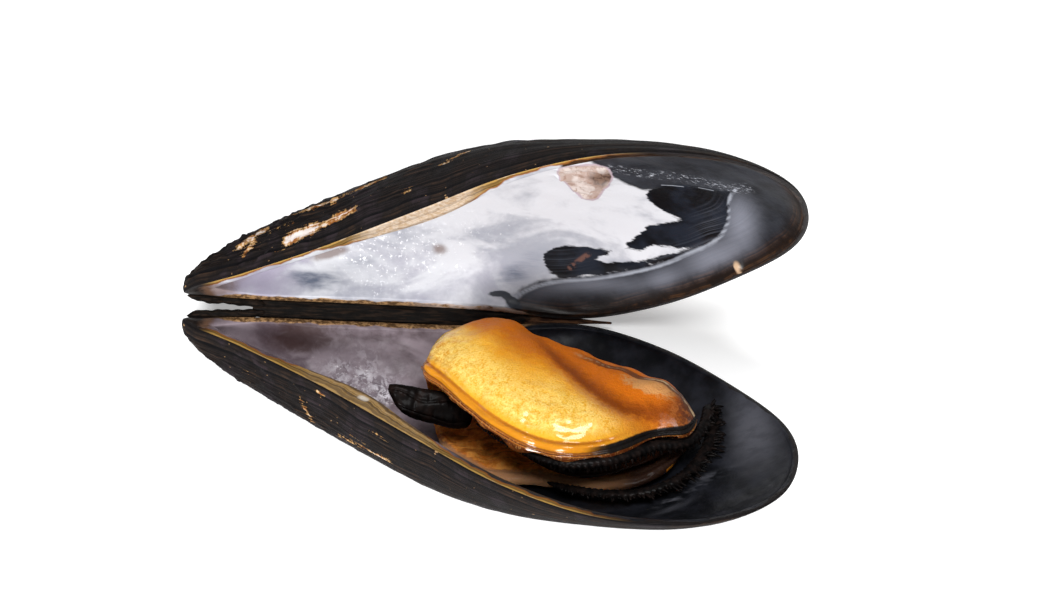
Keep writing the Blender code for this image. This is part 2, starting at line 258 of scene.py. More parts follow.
def margin_loops():
    """The outer margin, the inner edge of the lip, and the shape values there, at equal steps along the margin."""
    rows = np.array(MARGIN)
    scaled = np.column_stack([rows[:, :2], 1e-3 * rows[:, 2:]])
    loop = evenly_spaced(smooth_curve(scaled, 16, closed=True), SPOKES, closed=True)
    outer, shape = loop[:, :2], 1e3 * loop[:, 2:]
    inner = outer - outwards(outer) * shape[:, 2:3]
    fine = smooth_curve(np.hstack([outer, inner, shape]), PER_SPOKE, closed=True)
    return fine[:, :2], fine[:, 2:4], fine[:, 4:].T


OUTER_MARGIN, INNER_MARGIN, (FULLNESS, SQUARENESS, LIP, SWELL) = margin_loops()
print("margin:", len(OUTER_MARGIN), "places,", run_along(OUTER_MARGIN)[-1].round(1), "mm round")


# %% The rings of a wall
def wall_rings(margin, turns, depth, swell):
    """Rings at several turns, 0 at the margin and a quarter turn at the crest. Each is the margin, rounded more
    the higher it climbs and drawn in to the crest by cos(turn), at a depth that grows with sin(turn)."""
    turns = np.asarray(turns)[:, None]
    spread = np.fft.fft((margin - CREST) @ (1, 1j))
    order = np.abs(np.fft.fftfreq(len(margin), 1 / len(margin)))
    rounded = np.fft.ifft(spread * np.exp(-ROUNDING * np.sin(turns) ** 2 * np.maximum(order - 1, 0)), axis=1)
    reach = np.cos(turns) ** (2 / FULLNESS)
    bulge = 2.6 * swell * np.sin(turns) * np.cos(turns) ** 2
    away = outwards(margin)
    x = CREST[0] + reach * rounded.real + bulge * away[:, 0]
    y = CREST[1] + reach * rounded.imag + bulge * away[:, 1]
    return np.stack([x, y, depth * np.sin(turns) ** (2 / SQUARENESS)], axis=-1)


INNER_TURNS = np.linspace(0.0, 0.5 * math.pi, 64)
OUTER_TURNS = np.linspace(0.0, 0.5 * math.pi, 70)
INNER_WALL = wall_rings(INNER_MARGIN, INNER_TURNS, SHELL_DEPTH - WALL_THICKNESS, 0.0)
OUTER_WALL = wall_rings(OUTER_MARGIN, OUTER_TURNS, SHELL_DEPTH, SWELL)
print("the bowl is", INNER_WALL[..., 2].max().round(2), "mm deep inside")


def bowl_depth(x, y):
    """Depth of the bowl under places: each ring is a curve round the crest, angle against distance; a place
    lies between two rings, and its depth between theirs."""
    x, y = np.broadcast_arrays(np.asarray(x, float), np.asarray(y, float))
    angle, reach = np.arctan2(y - CREST[1], x - CREST[0]).ravel(), np.hypot(x - CREST[0], y - CREST[1]).ravel()
    radii, depths = [], []
    for ring in INNER_WALL[:-1]:
        around = np.arctan2(ring[:, 1] - CREST[1], ring[:, 0] - CREST[0])
        order = np.argsort(around)
        span = np.hypot(*(ring[:, :2] - CREST).T)
        radii.append(np.interp(angle, around[order], span[order], period=2 * math.pi))
        depths.append(np.interp(angle, around[order], ring[order, 2], period=2 * math.pi))
    radii = np.array(radii + [0 * angle])
    depths = np.array(depths + [0 * angle + SHELL_DEPTH - WALL_THICKNESS])
    above = np.clip((radii > reach).sum(axis=0), 1, len(radii) - 1)
    pick = np.arange(len(angle))
    r0, r1, d0, d1 = radii[above - 1, pick], radii[above, pick], depths[above - 1, pick], depths[above, pick]
    share = np.clip((r0 - reach) / np.maximum(r0 - r1, 1e-9), 0, 1)
    return (d0 + share * (d1 - d0)).reshape(x.shape)


print("depth under the crest:", bowl_depth(*CREST).round(2))

# %% [markdown]
# ## What grows on a valve
#
# Two measures carry all the patterns. One is the distance from the margin along the wall, for the rim. The
# other is the growth: how large the shell was when it laid down that place, 0 at the beak and 1 at the margin.
# Growth lines are rings of equal growth, and crowd together along the hinge and the straight ventral side.

# %% Rim distance and growth
UMBO = np.array([9.0, 5.8])


def wall_run(wall):
    """Distance along each spoke from the margin to each ring."""
    steps = np.linalg.norm(np.diff(wall, axis=0), axis=-1)
    return np.concatenate([np.zeros((1, wall.shape[1])), np.cumsum(steps, axis=0)])


def growth_of(wall, margin):
    """The wall is laid flat by its distances, and each place is a share of the way from the umbo to the margin."""
    run = wall_run(wall)
    share = 1 - run / run[-1]
    flat = CREST + share[..., None] * (margin - CREST)
    to_margin = margin - UMBO
    angle = np.arctan2(to_margin[:, 1], to_margin[:, 0])
    order = np.argsort(angle)
    here = flat - UMBO
    full = np.interp(np.arctan2(here[..., 1], here[..., 0]).ravel(), angle[order],
                     np.hypot(*to_margin.T)[order], period=2 * math.pi)
    return np.hypot(here[..., 0], here[..., 1]) / full.reshape(share.shape)


INNER_RUN, OUTER_RUN = wall_run(INNER_WALL), wall_run(OUTER_WALL)
INNER_GROWTH, OUTER_GROWTH = growth_of(INNER_WALL, INNER_MARGIN), growth_of(OUTER_WALL, OUTER_MARGIN)
print("growth at the crest:", OUTER_GROWTH[-1].mean().round(2))

# %% Marks on the valves
# Outlines in the valve's frame, in millimetres. The adductor muscle leaves two joined scars, the pallial line
# is where the mantle was fixed, and beyond it the shell is bare slate instead of nacre.
SCAR_HIGH = (
    (44.9, 17.0), (47.2, 19.0), (49.9, 20.0), (53.2, 20.8), (52.7, 18.1), (52.6, 15.2), (52.0, 12.9),
    (51.1, 11.5), (50.0, 10.5), (48.1, 9.2), (45.6, 8.9), (44.1, 7.5), (42.6, 7.5), (43.4, 8.8), (44.9, 11.1),
    (46.0, 11.8), (48.4, 13.2), (46.5, 13.7), (45.5, 14.3), (44.8, 15.4),
)
SCAR_LOW = (
    (34.7, 4.0), (34.6, 4.9), (35.6, 5.8), (37.7, 6.3), (41.3, 6.6), (41.2, 6.1), (40.1, 5.6), (39.4, 5.1),
    (40.7, 5.0), (44.1, 6.2), (46.3, 7.7), (48.6, 9.4), (47.6, 8.0), (44.6, 5.7), (40.2, 3.5), (36.4, 2.5),
    (35.0, 3.1),
)
PALLIAL_LINE = smooth_curve(
    ((53.6, 22.0), (52.8, 19.2), (52.7, 15.4), (51.7, 12.2), (49.0, 9.2), (46.1, 6.5), (43.1, 4.6), (39.2, 2.9),
     (34.7, 1.9), (31.0, 0.9)), 4)
BARE = (
    (31.0, 1.1), (34.7, 2.3), (39.2, 3.3), (42.9, 5.0), (45.9, 6.9), (48.6, 9.5), (51.2, 12.4), (52.0, 15.4),
    (52.2, 18.6), (51.8, 19.7), (49.9, 19.4), (46.8, 18.4), (44.7, 16.6), (43.0, 17.0), (41.6, 18.2),
    (40.5, 20.0), (38.5, 21.6), (37.0, 24.0), (37.0, 40.0), (70.0, 40.0), (70.0, -8.0), (31.0, -8.0),
)
FLESH = smooth_curve(
    ((36.0, 18.2), (36.6, 16.0), (37.4, 14.5), (38.4, 13.5), (39.5, 13.2), (40.1, 14.0), (40.5, 15.2),
     (41.1, 16.4), (41.5, 18.4), (41.0, 20.0), (39.7, 20.6), (37.8, 19.8)), 3, closed=True)
TAN_BUMP = (53.8, 10.4)
SPECKLES = ((41.5, 19.9), (44.0, 19.9), (46.5, 20.4), (49.0, 21.2), (51.4, 21.2), (53.4, 21.6), (54.4, 22.6))
# Where the skin is worn off: both ends of each streak as (x, y, depth), and its half width.
WORN = {
    FAR: (((4.6, 5.5, 3.0), (7.4, 7.0, 4.3), 0.42), ((5.2, 5.9, 1.9), (6.2, 6.4, 3.0), 0.28),
          ((9.8, 9.4, 2.0), (12.6, 11.5, 2.2), 0.70), ((12.6, 11.5, 2.1), (16.6, 14.9, 2.7), 0.40),
          ((4.8, 5.2, 4.7), (9.5, 8.4, 5.3), 0.20), ((9.5, 8.4, 5.5), (14.4, 12.5, 4.9), 0.34),
          ((14.4, 12.5, 5.2), (19.5, 16.2, 5.4), 0.22), ((7.6, 7.6, 3.6), (10.2, 9.6, 3.9), 0.12),
          ((8.4, 8.6, 1.2), (10.4, 9.8, 1.5), 0.14), ((18.0, 15.6, 3.6), (20.5, 17.6, 3.9), 0.10),
          ((25.1, 21.7, 4.2), (27.8, 22.8, 5.2), 0.20), ((21.5, 19.3, 2.4), (22.2, 19.7, 2.4), 0.16)),
    NEAR: (((13.6, 12.3, 0.7), (14.1, 12.7, 0.8), 0.22), ((11.7, 10.8, 2.6), (12.9, 11.4, 4.7), 0.10),
           ((15.6, 13.5, 4.8), (21.1, 18.5, 4.2), 0.16), ((16.9, 15.0, 3.6), (18.6, 16.4, 3.8), 0.12),
           ((19.0, 17.0, 1.6), (21.0, 18.6, 1.8), 0.08), ((5.0, 5.4, 2.2), (7.0, 6.6, 2.6), 0.10),
           ((58.0, 24.4, 0.9), (58.7, 25.0, 0.8), 0.15)),
}


def blobs(places, *spots):
    """Soft round marks added up. A spot is its middle, its half width and half height, its turn and strength."""
    total = np.zeros(np.shape(places)[:-1])
    for x, y, wide, high, turn, strength in spots:
        c, s = math.cos(math.radians(turn)), math.sin(math.radians(turn))
        dx, dy = places[..., 0] - x, places[..., 1] - y
        total += strength * np.exp(-((dx * c + dy * s) / wide) ** 2 - ((dy * c - dx * s) / high) ** 2)
    return total


print("worn streaks:", {"far": len(WORN[FAR]), "near": len(WORN[NEAR])})


# %% The skin of a valve
# The shelf at the ventral lip of each valve: the x of its middle, its half length, and how far it reaches in.
LEDGE = {FAR: (24.0, 6.5, 1.3), NEAR: (17.5, 5.0, 1.2)}


def ventral_share(x, y):
    """0 at the hinge and 1 on the ventral side, with a soft border on a slanting line from the beak."""
    return soft_step(y - 0.42 * x - 1.5, -0.4, 0.4)


def valve_grid(side):
    """Places (x, y, depth) of the closed surface: from the pole inside up to the lip, over it, and down outside.
    With them come the distance from the margin, positive inside, the growth, and how far outside the place is."""
    lip_turn = np.linspace(0.0, math.pi, 12)[1:-1]
    over = (0.5 - 0.5 * np.cos(lip_turn))[:, None]
    lip = INNER_MARGIN + over[..., None] * (OUTER_MARGIN - INNER_MARGIN)
    crown = -0.16 * LIP * np.sin(lip_turn)[:, None] ** 0.8
    lip = np.concatenate([lip, crown[..., None]], axis=-1)
    places = np.concatenate([INNER_WALL[::-1], lip, OUTER_WALL])
    edge = np.concatenate([(INNER_RUN + LIP)[::-1], LIP * (1 - over), -OUTER_RUN])
    growth = np.concatenate([INNER_GROWTH[::-1], np.ones_like(over * LIP), OUTER_GROWTH])
    outside = np.concatenate([0 * INNER_RUN, over + 0 * LIP, 1 + 0 * OUTER_RUN])
    middle, half, wide = LEDGE[side]
    x, y = INNER_MARGIN.T
    ledge = wide * bump_at(x, middle, half) * ventral_share(x, y)
    share = np.concatenate([np.exp(-(INNER_RUN / 1.0) ** 2)[::-1], 1 - over + 0 * LIP, 0 * OUTER_RUN])
    places[..., :2] -= (ledge * share)[..., None] * outwards(INNER_MARGIN)
    return places, edge, growth, outside


def outer_relief(places, growth, edge):
    """Growth ridges: steps at a few yearly stops, finer lines between them, and flakes where the skin is worn.
    Every wave is slow along the lines and quick across them. Near the margin the lines follow the margin."""
    wander = 0.010 * ripple(places, 16.0, 3)
    stops = sum(bump_at(growth + wander, stop, 0.010) for stop in (0.42, 0.60, 0.74, 0.85, 0.93))
    slow = 0.16 * places[..., :2]
    old = np.concatenate([(60 * (growth + wander))[..., None], slow], axis=-1)
    young = np.concatenate([(1.7 * edge + 30 * wander)[..., None], slow], axis=-1)
    near_margin = soft_step(edge, -9.0, -5.5)
    lines = near_margin * ripple(young, 2.4, 4) + (1 - near_margin) * ripple(old, 2.4, 4)
    flakes = np.maximum(ripple(young * (1.6, 4.0, 4.0), 2.0, 5), 0) * soft_step(-places[..., 0], -34.0, -6.0)
    away = soft_step(-edge, 0.0, 0.8)
    worn_end = soft_step(-places[..., 0], -22.0, -8.0)
    grit = worn_end * np.maximum(ripple(places, 0.95, 13), 0)
    return away * (0.05 * stops * (1 - near_margin) + 0.035 * lines + 0.11 * near_margin * flakes + 0.07 * grit)


def inner_relief(places, edge, side):
    """Scars sunk a little, the pallial line and the scrap of flesh raised; the near valve has small pits."""
    wobble = 0.25 * ripple(places, 3.0, 6)
    away = soft_step(edge, 0.9, 2.0)
    if side == NEAR:
        pits = np.maximum(ripple(places, 1.2, 7) - 0.8, 0) * bump_at(places[..., 0], 17.0, 4.0)
        return away * (-0.10 * pits + 0.03 * ripple(places, 5.0, 8) + 0.012 * ripple(places, 1.6, 11))
    scar = np.maximum(inside_of(places, SCAR_HIGH), inside_of(places, SCAR_LOW)) + 0.4 * wobble
    line = away_from(places, PALLIAL_LINE)
    flesh = inside_of(places, FLESH) + wobble
    lumps = 0.20 + 0.11 * ripple(places, 1.5, 9) + 0.06 * ripple(places, 0.7, 12)
    scrap = soft_step(flesh, -0.1, 0.6) * lumps
    bump = 0.5 * np.exp(-(np.linalg.norm(places[..., :2] - TAN_BUMP, axis=-1) / 0.36) ** 2)
    low = -0.05 * soft_step(scar, -0.15, 0.25) + 0.03 * np.exp(-((line / 0.45) ** 2))
    return away * (low + 0.02 * ripple(places, 4.0, 10)) + scrap + bump


def down_in(side):
    """The direction of the ground in a valve's frame."""
    x, y, z = (from_valve(step, side) - from_valve([0, 0, 0], side) for step in np.eye(3))
    down = np.array([-x[2], -y[2], -z[2]])
    return down / np.linalg.norm(down)


REST_FLAT = 0.2
PLANE = float((OUTER_WALL @ down_in(NEAR)).max()) - REST_FLAT


def worn_places(places, side):
    """Millimetres inside the nearest worn streak, negative away from all of them."""
    depths = [width - away_from(places, (start, end)) for start, end, width in WORN[side]]
    return np.clip(np.max(depths, axis=0), -3.0, 3.0)


def valve(name, side):
    """The grid pushed along its own normals by the relief. What would go below the ground is pressed flat."""
    places, edge, growth, outside = valve_grid(side)
    normal = grid_normals(places, wrap=True)
    normal = normal * np.sign(normal[-6, :, 2].mean())
    relief = np.where(outside > 0.99, outer_relief(places, growth, edge) * (1.0 if side == FAR else 0.5), 0.0)
    relief = relief + np.where(outside < 0.01, inner_relief(places, edge, side), 0.0)
    relief[[0, -1]] = relief[[0, -1]].mean(axis=1, keepdims=True)
    shaped = places + normal * relief[..., None]
    if side == NEAR:
        down = down_in(NEAR)
        below = np.maximum(shaped @ down - PLANE, 0.0) * (outside > 0.99)
        shaped = shaped - below[..., None] * down
    x, y = places[..., 0], places[..., 1]
    ventral = ventral_share(x, y)
    marks = {
        "edge": edge, "growth": growth, "worn": worn_places(places, side),
        "golden": ventral * (1 - soft_step(x, 37.0, 46.0)) * soft_step(x, 0.8, 3.0),
        "plate": (1 - ventral) * (1 - soft_step(x, 31.0, 35.0)) * soft_step(x, 1.8, 4.5),
        "tip": 1 - soft_step(x + 0.3 * y, 0.8, 4.0),
        "breadth": 0.30 + 2.7 * bump_at(x, 18.5, 5.5) if side == NEAR else 0.10 + 2.0 * bump_at(x, 23.0, 6.0),
    }
    if side == FAR:
        marks["scar"] = np.maximum(inside_of(places, SCAR_HIGH), inside_of(places, SCAR_LOW))
        marks["bare"] = inside_of(places, BARE)
        marks["pallial"] = away_from(places, PALLIAL_LINE)
        marks["flesh"] = inside_of(places, FLESH)
        marks["speckles"] = away_from(places, SPECKLES)
        marks["bright"] = blobs(places, (41.0, 11.5, 7.0, 4.5, 30, 1.0), (30.0, 12.0, 8.0, 4.0, 35, 0.6),
                                (17.0, 6.5, 5.0, 2.0, 30, 0.4))
        marks["brown"] = blobs(places, (2.0, 2.2, 3.5, 1.5, 10, 1.2), (13.4, 3.5, 1.9, 0.40, 14, 1.5),
                               (24.3, 4.6, 0.9, 0.6, 0, 1.0),
                               (37.6, 4.2, 1.0, 0.35, 45, 0.5), (26.0, 8.5, 2.0, 2.0, 0, 0.15))
        marks["wet"] = blobs(places, (18.8, 4.4, 4.6, 2.8, 10, 1.0), (27.0, 6.5, 7.0, 4.0, 20, 0.5))
        marks["blue"] = blobs(places, (11.6, 1.9, 3.4, 0.42, 0, 0.9), (16.0, 3.0, 3.0, 0.7, 10, 0.6),
                              (31.6, 2.6, 2.4, 0.8, 10, 0.7), (33.5, 4.4, 3.0, 1.0, 30, 0.5))
        marks["wedge"] = blobs(places, (30.1, 1.52, 0.9, 0.10, -4, 1.1), (31.6, 1.05, 1.2, 0.20, -22, 1.2))
        marks["lilac"] = blobs(places, (8.0, 4.0, 7.0, 3.0, 20, 1.0), (24.0, 3.0, 6.0, 1.5, 0, 0.4))
        marks["brushed"] = blobs(places, (51.0, 14.0, 1.3, 3.5, -10, 1.0), (47.5, 8.6, 3.0, 0.7, 42, 0.8),
                                 (36.2, 4.6, 2.2, 1.6, 0, 0.5))
        # The satin spots lighten the slate: partly its own bluish grey, partly a painted sheen.
        marks["satin_tint_and_sheen"] = blobs(places, (54.6, 15.5, 2.2, 4.5, 0, 1.0), (51.5, 9.6, 3.5, 1.7, 40, 0.75),
                               (46.5, 5.2, 2.2, 0.9, 35, 0.5), (38.5, 2.3, 5.5, 0.8, 12, 0.6))
    else:
        marks["bright"] = blobs(places, (17.8, 4.6, 3.6, 1.7, 15, 1.5), (17.0, 1.3, 7.0, 0.5, 0, 0.5),
                                (4.5, 2.0, 2.5, 1.2, 10, 0.9))
        marks["wet"] = blobs(places, (17.0, 4.6, 3.4, 1.7, 10, 1.0), (19.4, 6.0, 2.0, 0.9, 25, 1.0))
        # The sheen spots are a painted soft grey highlight on the blue-black slate.
        marks["painted_sheen"] = blobs(places, (56.0, 15.5, 2.2, 5.5, -12, 1.0), (48.5, 25.5, 2.5, 0.4, -40, 0.7))
        marks["scuff"] = blobs(places, (50.5, 22.0, 3.0, 0.45, -35, 1.0), (52.0, 19.9, 2.2, 0.40, -15, 1.0),
                               (47.8, 23.9, 1.6, 0.5, -30, 0.9))
        marks["brown"] = blobs(places, (10.5, 1.8, 3.4, 0.6, 0, 1.1), (17.0, 2.0, 6.0, 0.8, 0, 0.35))
        marks["lilac"] = blobs(places, (12.0, 4.5, 6.0, 3.0, 20, 1.0))
    flat = {label: values.ravel() for label, values in marks.items()}
    flat["plan"] = places.reshape(-1, 3)
    faces = grid_faces(*edge.shape)
    finishes = (outside.ravel()[faces].min(axis=1) > 0.9).astype(int)
    return make_piece(name, from_valve(shaped, side), faces, flat, finishes)


near_shell = valve("near_shell", NEAR)
far_shell = valve("far_shell", FAR)

# %% [markdown]
# ## The ligament
#
# The ligament is a strip of dark horn-like stuff in the groove between the hinge edges. It is a profile carried
# along the hinge and drawn to a point at each end, with ripples along it where its fibres show.

# %% The ligament
# Where the strip starts and ends along the hinge, and its section: half widths across, thicknesses up.
LIGAMENT_START, LIGAMENT_END = 5.9, 41.5
LIGAMENT_SECTION = (
    (1.0, 0.0), (0.75, 0.10), (0.3, 0.16), (-0.3, 0.16), (-0.75, 0.10), (-1.0, 0.0), (-1.12, -0.35),
    (-1.05, -0.9), (-0.8, -1.35), (-0.25, -1.6), (0.25, -1.6), (0.8, -1.35), (1.05, -0.9), (1.12, -0.35),
)


def hinge_edge(x):
    """How far the hinge edge of a valve lies from the hinge line, at places along it."""
    rows = smooth_curve(np.array(MARGIN)[:7, :2], 12)
    return np.interp(x, rows[:, 0], rows[:, 1])


# Rows of a place along the hinge, the distance out from it, and the radius there.
BEAK_BEAD = ((-0.6, 1.00, 0.14), (-0.1, 0.98, 0.36), (1.0, 0.84, 0.52), (2.4, 0.74, 0.50), (3.8, 0.70, 0.50),
             (5.0, 0.62, 0.52), (6.2, 0.50, 0.5), (7.4, 0.3, 0.3))


def beak_bead(side):
    """Rings round the black bead along the edge of one beak, with a rounded cap at both ends."""
    x, out, radius = evenly_spaced(smooth_curve(BEAK_BEAD, 8), 60).T
    up = hinge_edge(np.maximum(x, 0.0)) * math.cos(OPENING / 2) - 0.30
    cap = np.sqrt(np.clip(np.minimum(np.arange(60), np.arange(60)[::-1]) / 4, 0, 1))
    turn = np.linspace(0, 2 * math.pi, 16, endpoint=False)
    radius = radius * cap * (1 + 0.10 * ripple(np.stack([x, 0 * x + 3 * side, 0 * x], axis=-1), 1.3, 21))
    across = side * (out[:, None] + 0.9 * radius[:, None] * np.cos(turn))
    return np.stack([np.broadcast_to(x[:, None], across.shape), across,
                     up[:, None] + 0.8 * radius[:, None] * np.sin(turn)], axis=-1)


def ligament():
    """The profile, as wide at its top as the groove between the two edges. It is thick as far as the hinge goes,
    then a thin skin between the margins. Between the beaks the skin splits into a bead on each edge."""
    section = evenly_spaced(smooth_curve(LIGAMENT_SECTION, 6, closed=True), 60, closed=True)
    share = np.linspace(0.0, 1.0, 300)
    x = LIGAMENT_START + share * (LIGAMENT_END - LIGAMENT_START)
    edge = hinge_edge(x)
    full = np.maximum(1 - (2 * share - 1) ** 8, 0.0) ** 0.5
    thick = full * (1 - 0.72 * soft_step(x, 31.0, 35.0))
    wide = (0.5 * HINGE_GAP + edge * math.sin(OPENING / 2) + 0.06) * full ** 0.3
    wide = wide * (1 - 0.8 * soft_step(x, 36.0, 41.0))
    top = edge * math.cos(OPENING / 2) - 0.22
    across = section[:, 0] * wide[:, None]
    up = section[:, 1] * thick[:, None] + top[:, None]
    grid = np.stack([np.broadcast_to(x[:, None], across.shape), across, up], axis=-1)
    middle = grid.mean(axis=1, keepdims=True)
    away = (grid - middle) / np.maximum(np.linalg.norm(grid - middle, axis=-1, keepdims=True), 1e-9)
    fibres = 0.035 * ripple(grid * (0.3, 3.0, 3.0), 1.5, 20) * thick[:, None]
    grid = grid + away * fibres[..., None]
    points, faces = [grid.reshape(-1, 3)], [grid_faces(*fibres.shape)]
    for side in (NEAR, FAR):
        bead = beak_bead(side)
        faces.append(grid_faces(*bead.shape[:2], first=sum(map(len, points))))
        points.append(bead.reshape(-1, 3))
    points = np.concatenate(points)
    marks = {"along": points[:, 0], "plan": points}
    return make_piece("ligament_strip", from_hinge(points), np.concatenate(faces), marks)


ligament_strip = ligament()

# %% [markdown]
# ## The meat
#
# The mantle is one sheet of flesh folded like a C: the plump upper lobe, the fold at its back, and the thin
# lower lobe on the bowl. It could be sculpted from a sphere, but a section carried along the hinge keeps hold of
# the lip, the crest and the edges, so each of their measures can follow the real one.

# %% The sections of the mantle
# Rows of x, the crest as (y, height), the lip as (y, height), and how far out the lower lobe reaches.
MANTLE_STATIONS = (
    (23.4, 7.6, 1.6, 11.2, 1.4, 13.6), (25.0, 6.4, 2.9, 13.3, 1.4, 15.4), (27.5, 5.7, 3.9, 16.2, 1.2, 17.6),
    (30.5, 5.7, 4.5, 19.5, 0.8, 19.4), (34.0, 7.2, 4.1, 22.0, 0.3, 19.6), (38.0, 8.4, 3.5, 23.2, 0.0, 20.2),
    (42.0, 9.8, 3.1, 22.3, 0.0, 21.2), (46.0, 11.3, 2.6, 19.4, 0.0, 21.0), (49.2, 12.8, 2.0, 18.3, 0.0, 18.6),
    (50.6, 13.8, 1.4, 17.7, -0.2, 16.8),
)
LOBE, LOWER_LOBE, CLEARANCE = 2.2, 1.1, 0.35
STATIONS, ROUND = 240, 130


def mantle_sides(stations):
    """The outer and inner side of each C-shaped section as a few places (y, height), from the lip to the edge."""
    x, crest_y, crest_h, lip_y, lip_h, edge_y = stations.T
    span = lip_y - crest_y
    belly_y = 0.5 * (crest_y + edge_y)
    high = crest_h * 0.62 + lip_h * 0.38

    def floor(y, lift):
        return y, -bowl_depth(x, y) + CLEARANCE + lift

    outer = (
        (lip_y, lip_h), (lip_y - 0.05 * span, lip_h + 0.9), (crest_y + 0.75 * span, high + 0.9),
        (crest_y + 0.38 * span, crest_h + 0.9), (crest_y, crest_h), (crest_y - 1.6, crest_h - 2.4),
        floor(crest_y - 0.5, 0.3), floor(belly_y, 0.0), floor(edge_y - 2.0, 0.0), floor(edge_y, 0.25),
    )
    inner = (
        (lip_y - 0.25, lip_h - 0.35), (lip_y - 0.12 * span, lip_h - 0.2), (crest_y + 0.68 * span, high + 0.8 - LOBE),
        (crest_y + 0.45 * span, crest_h + 0.4 - LOBE), (crest_y + 0.26 * span, crest_h - 0.6 - LOBE),
        (crest_y + 0.22 * span, crest_h - 2.2 - LOBE), floor(crest_y + 0.28 * span, 1.5 + LOWER_LOBE),
        floor(belly_y + 1.0, LOWER_LOBE), floor(edge_y - 2.0, LOWER_LOBE), floor(edge_y - 0.4, 0.7),
    )
    return (np.array([np.stack(place) for place in side]).transpose(2, 0, 1) for side in (outer, inner))


def mantle_grid():
    """Sections at even stations, each side at even steps. Both sides are drawn to their middle at the ends."""
    stations = evenly_spaced(smooth_curve(MANTLE_STATIONS, 24), STATIONS)
    outer, inner = mantle_sides(stations)
    share = np.linspace(0.0, 1.0, STATIONS)
    from_end = 25 * np.minimum(share, 1 - share)
    plump = (1 - 0.6 * np.clip(1 - from_end / 3, 0, 1) ** 2.2)[:, None, None]
    dome = np.sqrt(1 - np.clip(1 - from_end / 1.7, 0, 1) ** 2)[:, None, None]
    middle = 0.5 * (outer + inner)
    heart = middle[:, 1:5].mean(axis=1, keepdims=True)
    is_low = soft_step(np.arange(middle.shape[1]), 3.5, 6.5)[:, None]
    target = is_low * middle + (1 - is_low) * heart
    sides = []
    for side, crowd in ((outer, 1.5), (inner, 1.0)):
        side = middle + plump * (side - middle)
        curves = smooth_curve((target + dome * (side - target)).transpose(1, 0, 2), 8).transpose(1, 0, 2)
        sides.append(np.array([evenly_spaced(curve, ROUND, crowd=crowd) for curve in curves]))
    loop = np.concatenate([sides[0], sides[1][:, ::-1]], axis=1)
    lower = np.concatenate([np.linspace(0, 1, ROUND), np.linspace(1, 0, ROUND)]) ** 1.5
    ends = (2.2 * (1 - share) ** 3 - 1.0 * share**3)[:, None]
    x = stations[:, :1] + lower * ends
    return np.concatenate([x[..., None], loop[..., :1], -loop[..., 1:]], axis=-1), stations


# %% The relief of the mantle
# Lines in the valve's frame: the front of the dent, and the seam at its back.
DENT_LINE = ((33.5, 9.5), (35.5, 11.2), (37.1, 13.1), (38.7, 14.8), (40.2, 16.4), (41.7, 17.7), (43.7, 18.3),
             (45.6, 18.3), (47.6, 18.0), (49.5, 17.4))
SEAM = ((38.0, 9.2), (40.9, 11.1), (44.9, 12.6), (47.3, 13.3), (49.2, 14.6), (50.3, 16.0))


def mantle():
    """The sections with the details that follow the lip: a rim, a groove, a rounded roll, a second faint groove,
    and the pillow above. Behind the dent line the flesh is sunk."""
    grid, stations = mantle_grid()
    upper = np.broadcast_to(np.arange(2 * ROUND) < ROUND, grid.shape[:2])
    steps = np.linalg.norm(np.diff(grid, axis=1), axis=-1)
    run = np.concatenate([np.zeros((STATIONS, 1)), np.cumsum(steps, axis=1)], axis=1)
    lip = np.where(upper, run, 40.0)
    hem = np.where(upper, 40.0, run - run[:, ROUND : ROUND + 1])
    normal = grid_normals(grid, wrap=True)
    normal = normal * np.sign(-normal[:, ROUND // 4, 2].mean())
    wave = 0.12 * ripple(grid, 9.0, 31)
    rolled = 1 - soft_step(grid[..., 0], 40.5, 44.0)
    relief = 0.09 * bump_at(lip, 0.25 + 0.2 * wave, 0.16) - 0.15 * bump_at(lip, 0.54 + 0.2 * wave, 0.09)
    relief += rolled * (0.16 * bump_at(lip, 0.98 + wave, 0.30) - 0.11 * bump_at(lip, 1.55 + wave, 0.20))
    relief -= rolled * 0.05 * bump_at(lip, 2.7 + wave, 0.25)
    behind = inside_of(grid, ((30.0, 5.5),) + DENT_LINE + ((52.0, 15.0), (52.0, -5.0), (30.0, -5.0)))
    behind = np.where(upper & (run < 24.0), behind, -9.0)
    sink = soft_step(grid[..., 0], 32.5, 40.0) * (1 - 0.5 * soft_step(grid[..., 0], 44.0, 49.0))
    relief -= sink * (0.85 * soft_step(behind, -1.6, 1.2) - 0.45 * soft_step(behind, 1.8, 4.5))
    fold = 0.15 * ripple(grid, 7.0, 34)
    relief += 0.12 * bump_at(hem, 0.5 + fold, 0.25) - 0.10 * bump_at(hem, 1.1 + fold, 0.2)
    relief += np.where(upper, 0.0, 0.16 * ripple(grid * (1.0, 0.5, 1.0), 3.5, 35) * soft_step(hem, 1.0, 2.5))
    relief += 0.07 * ripple(grid, 4.5, 32) + 0.014 * ripple(grid, 1.2, 33)
    ends = np.clip(25 * np.minimum(np.linspace(0, 1, STATIONS), np.linspace(1, 0, STATIONS)), 0, 1)[:, None]
    shaped = grid + normal * (relief * ends)[..., None]
    whole = run[:, -1:]
    marks = {
        "lip": np.minimum(run, whole - run), "hem": np.abs(run - run[:, ROUND : ROUND + 1]), "behind": behind,
        "upper": upper & (run < 21.0), "along": grid[..., 0], "seam": away_from(grid, SEAM),
        "membrane": blobs(grid, (46.3, 14.3, 3.2, 1.5, 15, 1.0)),
    }
    flat = {label: np.asarray(values, float).ravel() for label, values in marks.items()}
    flat["plan"] = grid.reshape(-1, 3)
    return make_piece("mantle_flesh", from_valve(shaped, NEAR), grid_faces(*run.shape), flat)


mantle_flesh = mantle()

# %% [markdown]
# ## The black edge of the mantle
#
# The free edge of the mantle is black and carries little fingers, the papillae, with which the mussel feels the
# water. The edge is a tube along a path, and each papilla is a short bent cone of a few dozen faces. All of them
# are worked out at once, as one array of cones, and joined to the edge in one mesh.

